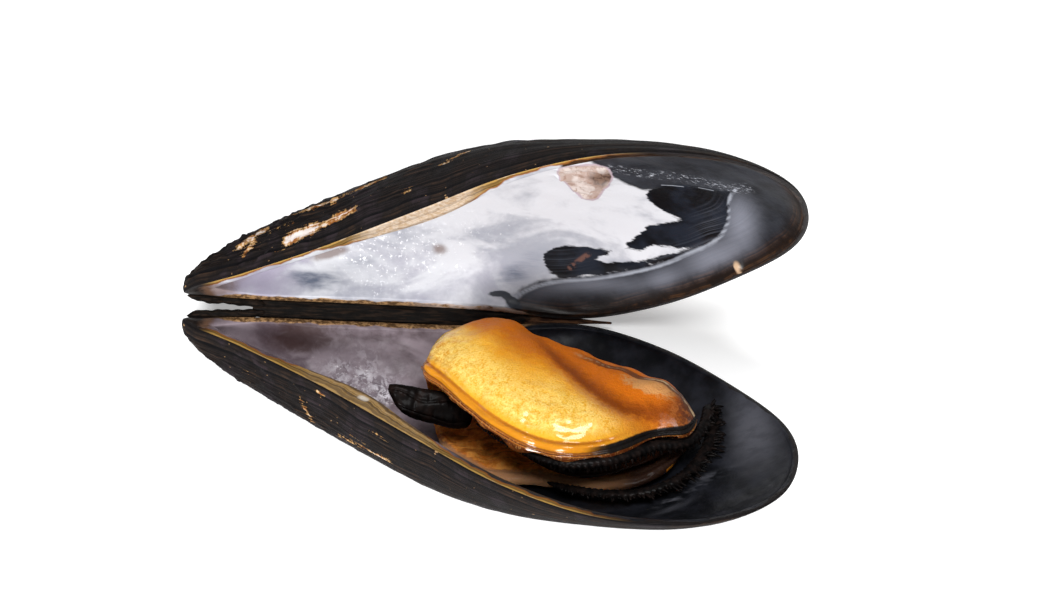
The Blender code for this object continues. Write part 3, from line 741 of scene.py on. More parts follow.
# %% Tubes along a path
def tube_grid(path, wide, thick, up, around):
    """Rings along a path: an oval of half width and half thickness, its thick way towards the up direction."""
    along = np.gradient(path, axis=0)
    along /= np.linalg.norm(along, axis=1)[:, None]
    across = np.cross(along, up)
    across /= np.linalg.norm(across, axis=1)[:, None]
    normal = np.cross(across, along)
    turn = np.linspace(0, 2 * math.pi, around, endpoint=False)[None, :, None]
    grid = path[:, None] + np.cos(turn) * (wide[:, None] * across)[:, None]
    return grid + np.sin(turn) * (thick[:, None] * normal)[:, None], across, normal


def in_depth(places):
    """Height above the margin's plane becomes depth below it."""
    return np.asarray(places) * (1, 1, -1)


# %% The frill
FRILL_PATH = (
    (29.0, 17.6, -0.2), (31.5, 20.2, -0.5), (34.6, 22.2, -0.9), (38.5, 23.3, -1.15), (42.5, 22.4, -1.15),
    (46.3, 19.8, -1.15), (49.4, 18.0, -1.2), (51.2, 15.0, -1.0), (51.6, 12.0, -0.9),
    (51.7, 11.4, -1.9), (52.0, 13.0, -2.7), (51.8, 16.0, -3.0), (50.7, 18.9, -3.3), (48.9, 21.4, -3.5),
    (45.4, 23.2, -3.7), (41.8, 22.9, -4.0), (38.4, 21.7, -4.3), (36.4, 20.6, -4.4),
)
FRILL_WIDTH, FRILL_THICKNESS = 1.3, 0.9
PAPILLAE = 190


def papillae(path, share):
    """Cones that stand out of the frill, bent down and of uneven length: rings of eight points that narrow."""
    pick = np.random.default_rng(41)
    count = len(path)
    low = soft_step(share, 0.42, 0.52)
    length = pick.uniform(0.75, 1.15, count) * (0.8 + 0.75 * low) * np.sqrt(np.sin(math.pi * share))
    length *= 1 - 0.85 * (1 - soft_step(path[:, 0], 34.0, 38.0)) * (1 - low)
    tangle = bump_at(share, 0.50, 0.09)
    length *= 1 - 0.35 * tangle
    lean = pick.normal(0, 0.20, (count, 3)) * (1 + 2.0 * tangle[:, None])
    low = low[:, None]
    out = path - (39.0, 13.0, 0.0)
    out[:, 2] = 0.0
    out /= np.linalg.norm(out, axis=1)[:, None]
    heading = (1 - low) * (0.45 * out + (0.0, 0.0, -1.0)) + low * (out + (0.0, 0.0, 0.30)) + lean
    heading /= np.linalg.norm(heading, axis=1)[:, None]
    side = np.cross(heading, [0.3, 0.1, 1.0])
    side /= np.linalg.norm(side, axis=1)[:, None]
    over = np.cross(side, heading)
    step = np.linspace(0.0, 1.0, 7)
    radius = 0.17 * np.array([1.0, 1.0, 0.95, 0.85, 0.72, 0.5, 0.0])
    turn = np.linspace(0, 2 * math.pi, 8, endpoint=False)[None, None, :, None]
    spine = path[:, None] + heading[:, None] * (0.15 + step[None, :, None] * length[:, None, None])
    spine = spine + np.array([0, 0, -0.22]) * (step**2)[None, :, None]
    ring = np.cos(turn) * side[:, None, None] + np.sin(turn) * over[:, None, None]
    cones = spine[:, :, None] + radius[None, :, None, None] * ring
    faces = np.concatenate([grid_faces(7, 8, 56 * k) for k in range(count)])
    base = np.arange(8)[::-1] + 56 * np.arange(count)[:, None]
    return cones.reshape(-1, 3), faces, base


def frill():
    """The edge as a ruffled tube along its path, thin at its start, and the papillae on it."""
    path = evenly_spaced(smooth_curve(FRILL_PATH, 12), 2 * PAPILLAE)
    lowest = -bowl_depth(path[:, 0], path[:, 1]) + 0.5 * FRILL_WIDTH + CLEARANCE
    path[:, 2] = np.maximum(path[:, 2], lowest)
    share = np.linspace(0.0, 1.0, len(path))
    upper_run = 1 - soft_step(share, 0.36, 0.46)
    path += upper_run[:, None] * (0.0, -0.35, 0.55)
    thin_start = (1 - soft_step(path[:, 0], 32.5, 39.0)) * upper_run
    taper = np.sqrt(np.maximum(1 - (2 * share - 1) ** 8, 0.0)) * (1 - 0.92 * thin_start)
    ruffle = 1 + 0.16 * np.sin(2 * math.pi * share * PAPILLAE / 2)
    up = np.tile([0.0, 0.25, 1.0], (len(path), 1))
    grid, _, _ = tube_grid(path, 0.45 * FRILL_WIDTH * taper * ruffle, 0.5 * FRILL_THICKNESS * taper, up, 20)
    cones, cone_faces, base = papillae(path[6:-6:2], share[6:-6:2])
    points = np.concatenate([grid.reshape(-1, 3), cones])
    first = grid.shape[0] * grid.shape[1]
    faces = grid_faces(*grid.shape[:2]).tolist() + (cone_faces + first).tolist() + (base + first).tolist()
    return make_piece("black_frill", from_valve(in_depth(points), NEAR), faces)


black_frill = frill()

# %% [markdown]
# ## The foot and the gills
#
# The foot is the mussel's tongue-like leg. Cooked, it is a black leathery strap with ridges along it. The gills
# lie in the mouth of the mantle: brown sheets so thin and close that they look like the leaves of a book.

# %% The foot
# Rows of a place, the half width and the half thickness there.
FOOT_PATH = (
    (20.9, 14.2, 0.3, 1.3, 0.75), (22.0, 14.2, 0.1, 1.5, 0.9), (24.2, 14.1, -0.5, 1.6, 0.9),
    (26.5, 14.0, -1.0, 1.6, 0.8), (28.8, 13.9, -1.4, 1.3, 0.6),
)
GILL_PATH = (
    (30.0, 14.6, -2.4, 0.4, 0.2), (33.0, 15.2, -2.6, 0.8, 0.4), (36.0, 17.2, -2.6, 2.1, 0.7),
    (40.0, 18.2, -2.6, 2.8, 0.8), (44.0, 17.6, -2.2, 2.2, 0.7), (47.2, 16.6, -1.8, 1.4, 0.5),
    (49.0, 16.2, -1.7, 0.7, 0.3),
)


def strap(name, rows, up, count, around, relief, square=1.0, slant=0.0):
    """A tube through rows of place, half width and half thickness, rounded off at both ends. Square below 1
    flattens its sides, and slant pushes one edge ahead of the other."""
    fine = evenly_spaced(smooth_curve(rows, 10), count)
    share = np.linspace(0.0, 1.0, count)
    cap = np.sqrt(np.clip(1 - np.clip(1 - np.minimum(share, 1 - share) * 14, 0, 1) ** 2.4, 0, 1))
    path, wide, thick = fine[:, :3], fine[:, 3] * cap, fine[:, 4] * cap
    turn = np.linspace(0, 2 * math.pi, around, endpoint=False)
    _, across, normal = tube_grid(path, wide, thick, np.tile(up, (count, 1)), 4)
    side, top = (np.sign(wave) * np.abs(wave) ** square for wave in (np.cos(turn), np.sin(turn)))
    away = side[:, None] * (wide[:, None] * across)[:, None] + top[:, None] * (thick[:, None] * normal)[:, None]
    grid = path[:, None] + away
    grid[..., 0] += slant * side * (wide * (1 - share) ** 3)[:, None]
    away /= np.maximum(np.linalg.norm(away, axis=-1, keepdims=True), 1e-9)
    turn = np.broadcast_to(turn, grid.shape[:2])
    grid = grid + away * (relief(grid, turn) * cap[:, None])[..., None]
    return make_piece(name, from_valve(in_depth(grid), NEAR), grid_faces(*turn.shape))


def leathery(grid, turn):
    """Ridges along the foot that wander a little, and shallow creases across it."""
    ridges = np.abs(np.sin(3.0 * turn + 0.6 * ripple(grid, 5.0, 51)))
    creases = np.maximum(ripple(grid * (1.0, 0.5, 0.5), 0.9, 54), 0)
    return -0.16 * (1 - ridges) ** 3 + 0.05 * ripple(grid * (0.5, 1.2, 1.2), 1.8, 52) - 0.03 * creases + 0.05


def leaved(grid, turn):
    """Thin leaves side by side: a fast wave round the tube."""
    return 0.07 * np.sin(22 * turn + 0.8 * ripple(grid, 3.0, 53))


foot_strap = strap("foot_strap", FOOT_PATH, (0.0, 0.8, 0.6), 220, 120, leathery, square=0.72, slant=-0.7)
gill_leaves = strap("gill_leaves", GILL_PATH, (0.0, 0.3, 1.0), 160, 160, leaved)

# %% [markdown]
# ## A short way to write shader nodes
#
# A material is a tree of nodes. Each call below adds one node and gives back the socket it puts out, so a
# material reads like a formula.

# %% Node calls
class Nodes:
    """Adds shader nodes to one tree."""

    def __init__(self, tree):
        self.tree = tree

    def add(self, kind, inputs, out=0, **settings):
        made = self.tree.nodes.new("ShaderNode" + kind)
        for key, value in settings.items():
            setattr(made, key, value)
        for key, value in inputs.items():
            if isinstance(value, bpy.types.NodeSocket):
                self.tree.links.new(value, made.inputs[key])
            else:
                made.inputs[key].default_value = value
        return made.outputs[out]

    def attribute(self, name, out="Fac"):
        """A value that make_piece stored in the mesh."""
        return self.add("Attribute", {}, out, attribute_name=name)

    def marks(self, *names):
        """Stored values, for the inputs of a group that have the same names with a capital."""
        return {name: self.attribute(name.lower()) for name in names}

    def math(self, operation, first, second=0.0, clamp=False):
        return self.add("Math", {0: first, 1: second}, operation=operation, use_clamp=clamp)

    def times(self, first, second, clamp=False):
        return self.math("MULTIPLY", first, second, clamp)

    def plus(self, first, second, clamp=False):
        return self.math("ADD", first, second, clamp)

    def minus(self, first, second):
        return self.math("SUBTRACT", first, second)

    def spread(self, noise, size):
        """A noise turned into a push both ways: (noise - 0.5) * size."""
        return self.times(self.minus(noise, 0.5), size)

    def vector(self, inputs, out=0, operation="SUBTRACT"):
        return self.add("VectorMath", inputs, out, operation=operation)

    def mask(self, value, low, high):
        """0 below low and 1 above high, smooth between. With low above high it falls instead."""
        inputs = {"Value": value, "From Min": low, "From Max": high}
        return self.add("MapRange", inputs, interpolation_type="SMOOTHSTEP")

    def noise(self, vector, scale, detail=3.0, rough=0.5, warp=0.0):
        """Cloudy noise round 0.5. Scale is in waves for each unit of the vector."""
        inputs = {"Vector": vector, "Scale": scale, "Detail": detail, "Roughness": rough, "Distortion": warp}
        return self.add("TexNoise", inputs)

    def lines(self, place, scale=1.0, **settings):
        """Noise of a single number: parallel bands where that number grows evenly."""
        inputs = {"W": place, "Scale": scale, **settings}
        return self.add("TexNoise", inputs, noise_dimensions="1D")

    def mix(self, factor, first, second, blend="MIX"):
        """A colour between two colours, given as sockets or as red, green and blue."""
        first, second = ((*value, 1.0) if isinstance(value, tuple) else value for value in (first, second))
        colours = {6: first, 7: second}
        return self.add("Mix", {0: factor, **colours}, 2, data_type="RGBA", blend_type=blend)

    def blend(self, factor, first, second):
        """A plain number between two numbers."""
        return self.add("Mix", {0: factor, 2: first, 3: second}, 0, data_type="FLOAT")

    def stretched(self, vector, scale):
        """The vector times a scale in each direction, to draw a noise out."""
        return self.add("Mapping", {"Vector": vector, "Scale": scale})

    def bump(self, height, strength, distance, normal=None):
        inputs = {"Height": height, "Strength": strength, "Distance": distance}
        if normal is not None:
            inputs["Normal"] = normal
        return self.add("Bump", inputs)


def start_material(name, **uniform):
    """A material with its shader's own sockets set to values that are the same all over."""
    made = bpy.data.materials.new(name)
    made.use_nodes = True
    shader = made.node_tree.nodes["Principled BSDF"]
    for key, value in uniform.items():
        shader.inputs[key.replace("_", " ")].default_value = value
    return made, Nodes(made.node_tree), shader


def feed(nodes, shader, **sockets):
    """Link what the nodes put out to sockets of the shader."""
    for key, value in sockets.items():
        nodes.tree.links.new(value, shader.inputs[key.replace("_", " ")])


def start_group(name, inputs, outputs):
    """A node group with named sockets."""
    tree = bpy.data.node_groups.new(name, "ShaderNodeTree")
    for label, kind in inputs.items():
        tree.interface.new_socket(name=label, in_out="INPUT", socket_type="NodeSocket" + kind)
    for label, kind in outputs.items():
        tree.interface.new_socket(name=label, in_out="OUTPUT", socket_type="NodeSocket" + kind)
    entry, leave = tree.nodes.new("NodeGroupInput"), tree.nodes.new("NodeGroupOutput")
    return tree, Nodes(tree), entry.outputs, leave.inputs


def place_group(nodes, tree, inputs):
    """One use of a node group. Gives back its outputs."""
    made = nodes.tree.nodes.new("ShaderNodeGroup")
    made.node_tree = tree
    for key, value in inputs.items():
        if isinstance(value, bpy.types.NodeSocket):
            nodes.tree.links.new(value, made.inputs[key])
        else:
            made.inputs[key].default_value = value
    return made.outputs


# %% [markdown]
# ## Effects that several finishes share
#
# Growth lines show outside on the skin and faintly inside on the slate. They could be drawn as waves of the
# growth, but waves are too even: a one-dimensional noise of the growth gives lines of uneven width, which stay
# parallel to the margin. The nacre and the rim are on both valves, with other tints, so they are groups too.

# %% Growth lines
def growth_lines():
    """Bands of a one-dimensional noise: of the growth far from the margin, of the distance to it nearby."""
    tree, nodes, entry, leave = start_group(
        "growth lines", {"Growth": "Float", "Edge": "Float", "Place": "Vector"},
        {"Lines": "Float", "Patch": "Float"})
    drift = nodes.times(nodes.noise(entry["Place"], 0.10, 2.0), 5.0)
    rings = [nodes.lines(nodes.plus(nodes.times(entry[name], pace), drift), Detail=5.0, Roughness=0.75)
             for name, pace in (("Growth", 70.0), ("Edge", 2.6))]
    tree.links.new(nodes.blend(nodes.mask(entry["Edge"], -9.0, -5.5), *rings), leave["Lines"])
    tree.links.new(nodes.noise(entry["Place"], 0.35, 5.0, 0.6), leave["Patch"])
    return tree


# %% Nacre
def nacre():
    """Mother of pearl: silvery clouds between two tints, with soft lilac, blue and brown marks over them."""
    tree, nodes, entry, leave = start_group(
        "nacre", {"Place": "Vector", "Light": "Color", "Shade": "Color", "Bright": "Float", "Lilac": "Float",
                  "Blue": "Float", "Brown": "Float", "Wet": "Float", "Tip": "Float"},
        {"Color": "Color", "Height": "Float", "Drops": "Float"})
    place = entry["Place"]
    clouds = nodes.noise(nodes.stretched(place, (0.6, 1.0, 1.0)), 0.22, 4.0, 0.55, 0.6)
    fine = nodes.noise(place, 1.3, 4.0, 0.6)
    lift = nodes.plus(nodes.plus(clouds, nodes.times(entry["Bright"], 0.22)),
                      nodes.spread(fine, 0.18))
    colour = nodes.mix(nodes.mask(lift, 0.36, 0.66), entry["Shade"], entry["Light"])
    lilac = nodes.times(entry["Lilac"], nodes.mask(clouds, 0.62, 0.40))
    colour = nodes.mix(nodes.times(lilac, 0.8, True), colour,
                       nodes.mix(1.0, entry["Shade"], (1.0, 0.80, 1.02), "MULTIPLY"))
    blotch = nodes.noise(place, 0.9, 3.0, 0.6, 1.0)
    streaky = nodes.noise(nodes.stretched(place, (0.35, 1.8, 1.0)), 0.9, 4.0, 0.6)
    blue = nodes.mask(nodes.times(entry["Blue"], nodes.plus(nodes.times(streaky, 2.0), -0.1)), 0.15, 1.15)
    colour = nodes.mix(blue, colour, nodes.mix(1.0, entry["Shade"], (0.30, 0.34, 0.42), "MULTIPLY"))
    brown = nodes.mask(nodes.times(entry["Brown"], nodes.plus(blotch, 0.5)), 0.2, 1.0)
    colour = nodes.mix(nodes.times(brown, 0.8), colour,
                       nodes.mix(1.0, entry["Shade"], (0.52, 0.34, 0.26), "MULTIPLY"))
    tip = nodes.plus(entry["Tip"], nodes.spread(blotch, 0.5))
    colour = nodes.mix(nodes.mask(tip, 0.2, 0.55), colour, (0.10, 0.055, 0.035))
    colour = nodes.mix(nodes.mask(tip, 0.6, 0.95), colour, (0.012, 0.009, 0.008))
    drops_and_glints = nodes.mask(nodes.noise(place, 2.6, 3.0, 0.7), 0.575, 0.64)
    drops_and_glints = nodes.times(drops_and_glints, nodes.mask(nodes.plus(entry["Wet"], nodes.spread(blotch, 1.6)), 0.3, 0.9))
    # Painted glints: under the wet drops the colour is lifted towards white, standing in for the light they catch.
    colour = nodes.mix(nodes.times(drops_and_glints, 0.75), colour,
                       nodes.mix(1.0, entry["Light"], (0.36, 0.36, 0.36), "ADD"))
    tree.links.new(colour, leave["Color"])
    tree.links.new(drops_and_glints, leave["Drops"])
    height = nodes.plus(nodes.times(clouds, 0.6), nodes.times(fine, 0.5))
    tree.links.new(nodes.plus(height, nodes.times(drops_and_glints, 0.6)), leave["Height"])
    return tree


# %% The rim
def rim_band():
    """The edge of the shell: golden horn with cream streaks on the ventral side, brown and pitted at the hinge,
    black round the wide end. Its inner border wanders."""
    tree, nodes, entry, leave = start_group(
        "rim band", {"Place": "Vector", "Edge": "Float", "Golden": "Float", "Plate": "Float", "Breadth": "Float",
                     "Creamy": "Float"},
        {"Color": "Color", "Mask": "Float", "Height": "Float"})
    place = entry["Place"]
    wander = nodes.noise(place, 0.45, 3.0)
    fine = nodes.noise(place, 2.4, 4.0, 0.65)
    width = nodes.plus(nodes.times(entry["Golden"], entry["Breadth"]),
                       nodes.plus(0.45, nodes.times(entry["Plate"], 0.55)))
    width = nodes.minus(width, nodes.times(entry["Golden"], 0.15))
    inwards = nodes.minus(entry["Edge"], width)
    inwards = nodes.plus(inwards, nodes.spread(wander, 1.1))
    streaks = nodes.lines(nodes.plus(nodes.times(entry["Edge"], 4.2), nodes.times(wander, 2.2)), Detail=4.0)
    golden = nodes.mix(nodes.mask(streaks, 0.40, 0.58), (0.075, 0.040, 0.010), (0.33, 0.195, 0.050))
    cream = nodes.times(nodes.times(nodes.mask(wander, 0.52, 0.62), nodes.mask(streaks, 0.5, 0.6)),
                       nodes.blend(entry["Creamy"], 0.25, 1.0))
    broad = nodes.times(entry["Creamy"], nodes.mask(entry["Breadth"], 0.5, 1.4))
    broad = nodes.times(broad, nodes.blend(nodes.mask(streaks, 0.40, 0.56), 0.65, 1.0))
    cream = nodes.math("MAXIMUM", cream, broad)
    creamy = nodes.mix(nodes.mask(fine, 0.36, 0.60), (0.46, 0.33, 0.22), (0.62, 0.52, 0.43))
    golden = nodes.mix(nodes.times(cream, 0.85), golden, creamy)
    golden = nodes.mix(nodes.mask(inwards, -0.30, -0.08), golden, (0.24, 0.080, 0.012))
    plate = nodes.mix(nodes.mask(fine, 0.42, 0.60), (0.085, 0.045, 0.020), (0.36, 0.21, 0.095))
    colour = nodes.mix(entry["Golden"], (0.010, 0.008, 0.008), golden)
    colour = nodes.mix(entry["Plate"], colour, plate)
    tree.links.new(colour, leave["Color"])
    tree.links.new(nodes.mask(inwards, 0.06, -0.14), leave["Mask"])
    tree.links.new(nodes.plus(nodes.times(streaks, 0.5), fine), leave["Height"])
    return tree


# %% A stroke
def stroke():
    """How far a place lies from a straight stroke: the place minus its nearest point between both ends."""
    tree, nodes, entry, leave = start_group(
        "stroke", {"Place": "Vector", "Start": "Vector", "End": "Vector"}, {"Distance": "Float"})
    offset = nodes.vector({0: entry["Place"], 1: entry["Start"]})
    side = nodes.vector({0: entry["End"], 1: entry["Start"]})
    along = nodes.vector({0: offset, 1: side}, "Value", operation="DOT_PRODUCT")
    whole = nodes.vector({0: side, 1: side}, "Value", operation="DOT_PRODUCT")
    share = nodes.math("DIVIDE", along, whole, True)
    reached = nodes.vector({0: side, "Scale": share}, operation="SCALE")
    gap = nodes.vector({0: offset, 1: reached})
    tree.links.new(nodes.vector({0: gap}, "Value", operation="LENGTH"), leave["Distance"])
    return tree


GROWTH_LINES, NACRE, RIM_BAND, STROKE = growth_lines(), nacre(), rim_band(), stroke()
print("groups:", [tree.name for tree in bpy.data.node_groups])

# %% [markdown]
# ## The outer skin
#
# Outside, a mussel wears a thin horny skin over a blue-black wall. It is dull where it is whole. Where it has
# rubbed on rocks it is gone in streaks along the growth lines, and the chalky wall shows white, lilac and rust.

# %% The outer skin
def outer_skin_material():
    """Dull dark skin in lines and patches, and chalk where the ragged edge of a worn streak is passed."""
    made, nodes, shader = start_material("outer_skin", Specular_IOR_Level=0.05)
    place, worn = nodes.attribute("plan", "Vector"), nodes.attribute("worn")
    lines, patch = place_group(nodes, GROWTH_LINES, {"Place": place, **nodes.marks("Growth", "Edge")})[:2]
    fine = nodes.noise(place, 3.2, 4.0, 0.6)
    dark = nodes.mix(nodes.mask(lines, 0.42, 0.60), (0.0028, 0.0026, 0.0032), (0.0115, 0.0088, 0.0080))
    young = nodes.mask(nodes.attribute("edge"), -11.0, -5.0)
    dark = nodes.mix(nodes.times(nodes.minus(1.0, young), 0.75), dark,
                     nodes.mix(nodes.mask(lines, 0.36, 0.64), (0.0055, 0.0060, 0.0095), (0.018, 0.018, 0.024)))
    brown = nodes.times(nodes.mask(patch, 0.46, 0.66), nodes.mask(lines, 0.50, 0.58))
    dark = nodes.mix(nodes.times(brown, nodes.blend(young, 0.20, 0.50)), dark, (0.060, 0.033, 0.020))
    violet = nodes.times(nodes.mask(patch, 0.50, 0.36), nodes.mask(lines, 0.44, 0.60))
    dark = nodes.mix(nodes.times(violet, 0.6), dark, (0.034, 0.024, 0.030))
    ragged = nodes.plus(worn, nodes.spread(lines, 1.6))
    ragged = nodes.plus(ragged, nodes.spread(patch, 0.8))
    ragged = nodes.plus(ragged, nodes.spread(fine, 1.1))
    bare = nodes.mask(ragged, -0.04, 0.10)
    tint = nodes.noise(nodes.stretched(place, (0.5, 0.5, 1.6)), 2.0, 4.0, 0.65)
    chalk = nodes.mix(nodes.mask(tint, 0.42, 0.52), (0.24, 0.090, 0.022), (0.48, 0.28, 0.11))
    chalk = nodes.mix(nodes.mask(nodes.plus(ragged, tint), 0.74, 0.96), chalk, (0.62, 0.56, 0.53))
    flecks = nodes.mask(nodes.noise(nodes.stretched(place, (0.7, 0.7, 1.4)), 1.9, 2.0), 0.715, 0.76)
    colour = nodes.mix(bare, dark, chalk)
    colour = nodes.mix(nodes.times(flecks, 0.7), colour, (0.42, 0.25, 0.12))
    height = nodes.plus(lines, nodes.times(fine, 0.45))
    height = nodes.minus(height, nodes.times(bare, 0.8))
    rough = nodes.blend(bare, nodes.blend(patch, nodes.blend(young, 0.38, 0.55), 0.80), 0.85)
    feed(nodes, shader, Base_Color=colour, Roughness=rough, Normal=nodes.bump(height, 0.7, 0.00015))
    return made


# %% [markdown]
# ## The insides of the valves
#
# The far valve faces the light: bright mother of pearl, the black scars of the muscle that closed it, and slate
# beyond the pallial line. The near valve is the same shell, but its nacre is violet grey, darker partly in its
# own tint and partly by painted shade, and turns blue-black under the meat. Masks come from distances stored in
# the mesh, and noise frays them where the light is sharp.

# %% The inside of the far valve
def scratch(nodes, place, start, end, width):
    """A mask that is 1 on a thin stroke in the valve's plane."""
    flat = nodes.vector({0: place, 1: (1.0, 1.0, 0.0)}, operation="MULTIPLY")
    gap = place_group(nodes, STROKE, {"Place": flat, "Start": start, "End": end})[0]
    return nodes.mask(gap, width, 0.3 * width)


def far_inside_material():
    """Nacre, then slate where it is bare, scars, the pallial line, the dried scrap and the rim, one over another."""
    made, nodes, shader = start_material("far_nacre", Specular_IOR_Level=0.16, Coat_Roughness=0.16)
    place = nodes.attribute("plan", "Vector")
    lines, patch = place_group(nodes, GROWTH_LINES, {"Place": place, **nodes.marks("Growth", "Edge")})[:2]
    pearl = place_group(nodes, NACRE, {
        "Place": place, "Light": (0.585, 0.59, 0.625, 1.0), "Shade": (0.33, 0.34, 0.385, 1.0),
        **nodes.marks("Bright", "Lilac", "Blue", "Brown", "Wet", "Tip")})
    fine = nodes.noise(place, 1.1, 5.0, 0.6)
    teeth = nodes.noise(nodes.stretched(place, (0.55, 2.2, 1.0)), 0.9, 4.0, 0.65)
    fray = nodes.spread(teeth, 1.5)
    soft = nodes.spread(fine, 0.5)
    # Slate, with a lighter satin band just beyond the pallial line, partly the thin nacre's own bluish grey and
    # partly a painted sheen, and darker stuff towards the margin.
    beyond = nodes.plus(nodes.attribute("bare"), soft)
    slate = nodes.mix(nodes.mask(patch, 0.35, 0.65), (0.008, 0.0085, 0.011), (0.022, 0.024, 0.030))
    satin_tint_and_sheen = nodes.times(nodes.mask(beyond, -0.2, 0.9), nodes.mask(beyond, 5.2, 1.0))
    satin_tint_and_sheen = nodes.times(satin_tint_and_sheen, nodes.plus(0.06, nodes.attribute("satin_tint_and_sheen")))
    satin_tint_and_sheen = nodes.times(satin_tint_and_sheen, nodes.blend(nodes.mask(lines, 0.35, 0.60), 0.90, 1.0), True)
    slate = nodes.mix(satin_tint_and_sheen, slate, (0.215, 0.225, 0.27))
    horn = nodes.mix(nodes.times(nodes.mask(lines, 0.46, 0.60), nodes.mask(patch, 0.42, 0.58)),
                     (0.009, 0.006, 0.005), (0.055, 0.026, 0.012))
    near_edge = nodes.plus(nodes.attribute("edge"), nodes.times(patch, 1.4))
    slate = nodes.mix(nodes.mask(near_edge, 3.6, 1.6), slate, horn)
    bare = nodes.mask(nodes.plus(beyond, nodes.times(fray, 0.3)), -0.25, 0.25)
    colour = nodes.mix(bare, pearl["Color"], slate)
    scar = nodes.mask(nodes.plus(nodes.attribute("scar"), nodes.times(fray, 0.7)), -0.12, 0.10)
    deep = nodes.mix(nodes.mask(nodes.noise(place, 0.3, 3.0), 0.4, 0.65),
                     (0.0035, 0.0035, 0.0045), (0.011, 0.014, 0.022))
    brushed = nodes.times(nodes.attribute("brushed"), nodes.mask(lines, 0.46, 0.58))
    deep = nodes.mix(nodes.times(brushed, 0.8, True), deep, (0.055, 0.060, 0.075))
    stripe = scratch(nodes, place, (37.2, 3.7, 0.0), (39.0, 5.6, 0.0), 0.40)
    deep = nodes.mix(nodes.times(stripe, nodes.mask(fine, 0.40, 0.56)), deep, (0.11, 0.055, 0.045))
    colour = nodes.mix(scar, colour, deep)
    line = nodes.mask(nodes.plus(nodes.attribute("pallial"), nodes.times(soft, 0.4)), 0.28, 0.02)
    colour = nodes.mix(nodes.times(line, 0.85), colour, (0.32, 0.34, 0.39))
    wedge = nodes.plus(nodes.attribute("wedge"), nodes.spread(teeth, 0.6))
    colour = nodes.mix(nodes.times(nodes.mask(wedge, 0.30, 0.65), 0.95), colour, (0.012, 0.015, 0.022))
    # Wet specks above the upper scar, painted pale as glints, two scratches in it, and the dried scrap of flesh.
    specks = nodes.times(nodes.mask(nodes.attribute("speckles"), 1.2, 0.2),
                        nodes.mask(nodes.noise(nodes.stretched(place, (0.8, 2.0, 1.0)), 2.2, 3.0, 0.7), 0.54, 0.68))
    colour = nodes.mix(nodes.times(specks, 0.8), colour, (0.62, 0.65, 0.72))
    marks = nodes.math("MAXIMUM", scratch(nodes, place, (46.2, 18.4, 0.0), (48.3, 19.0, 0.0), 0.10),
                       scratch(nodes, place, (49.8, 19.6, 0.0), (51.2, 19.8, 0.0), 0.10))
    colour = nodes.mix(nodes.times(marks, 0.7), colour, (0.35, 0.37, 0.42))
    scrap = nodes.plus(nodes.attribute("flesh"), nodes.times(soft, 0.8))
    veins = nodes.noise(place, 2.2, 5.0, 0.65, 0.8)
    stained = nodes.noise(place, 0.75, 3.0)
    meat = nodes.mix(nodes.mask(stained, 0.42, 0.60), (0.56, 0.49, 0.46), (0.40, 0.30, 0.26))
    meat = nodes.mix(nodes.times(nodes.mask(veins, 0.50, 0.66), 0.7), meat, (0.26, 0.16, 0.12))
    meat = nodes.mix(scratch(nodes, place, (40.2, 17.8, 0.0), (40.9, 18.4, 0.0), 1.5), meat,
                     nodes.mix(nodes.mask(veins, 0.40, 0.60), (0.070, 0.040, 0.030), (0.19, 0.12, 0.09)))
    meat = nodes.mix(nodes.mask(scrap, 0.26, 0.08), meat, (0.40, 0.32, 0.36))
    colour = nodes.mix(nodes.mask(scrap, -0.10, 0.06), colour, meat)
    bump = scratch(nodes, place, (53.8, 10.3, 0.0), (53.8, 10.5, 0.0), 0.5)
    colour = nodes.mix(bump, colour, (0.50, 0.34, 0.22))
    rim = place_group(nodes, RIM_BAND, {
        "Place": place, "Creamy": 1.0,
        **nodes.marks("Edge", "Golden", "Plate", "Breadth")})
    colour = nodes.mix(rim["Mask"], colour, rim["Color"])
    along = nodes.add("SeparateXYZ", {"Vector": place}, 0)
    paler = nodes.times(nodes.times(rim["Mask"], nodes.attribute("plate")), nodes.mask(along, 20.0, 28.0))
    colour = nodes.mix(nodes.times(paler, nodes.mask(fine, 0.34, 0.54)), colour, (0.58, 0.47, 0.42))
    height = nodes.plus(pearl["Height"], nodes.times(nodes.times(lines, bare), 0.08))
    height = nodes.plus(height, nodes.times(nodes.plus(rim["Mask"], specks), rim["Height"]))
    rough = nodes.blend(rim["Mask"], nodes.blend(bare, nodes.blend(fine, 0.34, 0.50), 0.36), 0.5)
    rough = nodes.blend(nodes.mask(scrap, -0.1, 0.1), rough, 0.65)
    coat = nodes.plus(nodes.times(pearl["Drops"], 0.7), nodes.times(bare, 0.04), True)
    feed(nodes, shader, Base_Color=colour, Roughness=rough, Normal=nodes.bump(height, 0.5, 0.00012),
         Coat_Weight=nodes.times(nodes.minus(1.0, rim["Mask"]), coat))
    return made


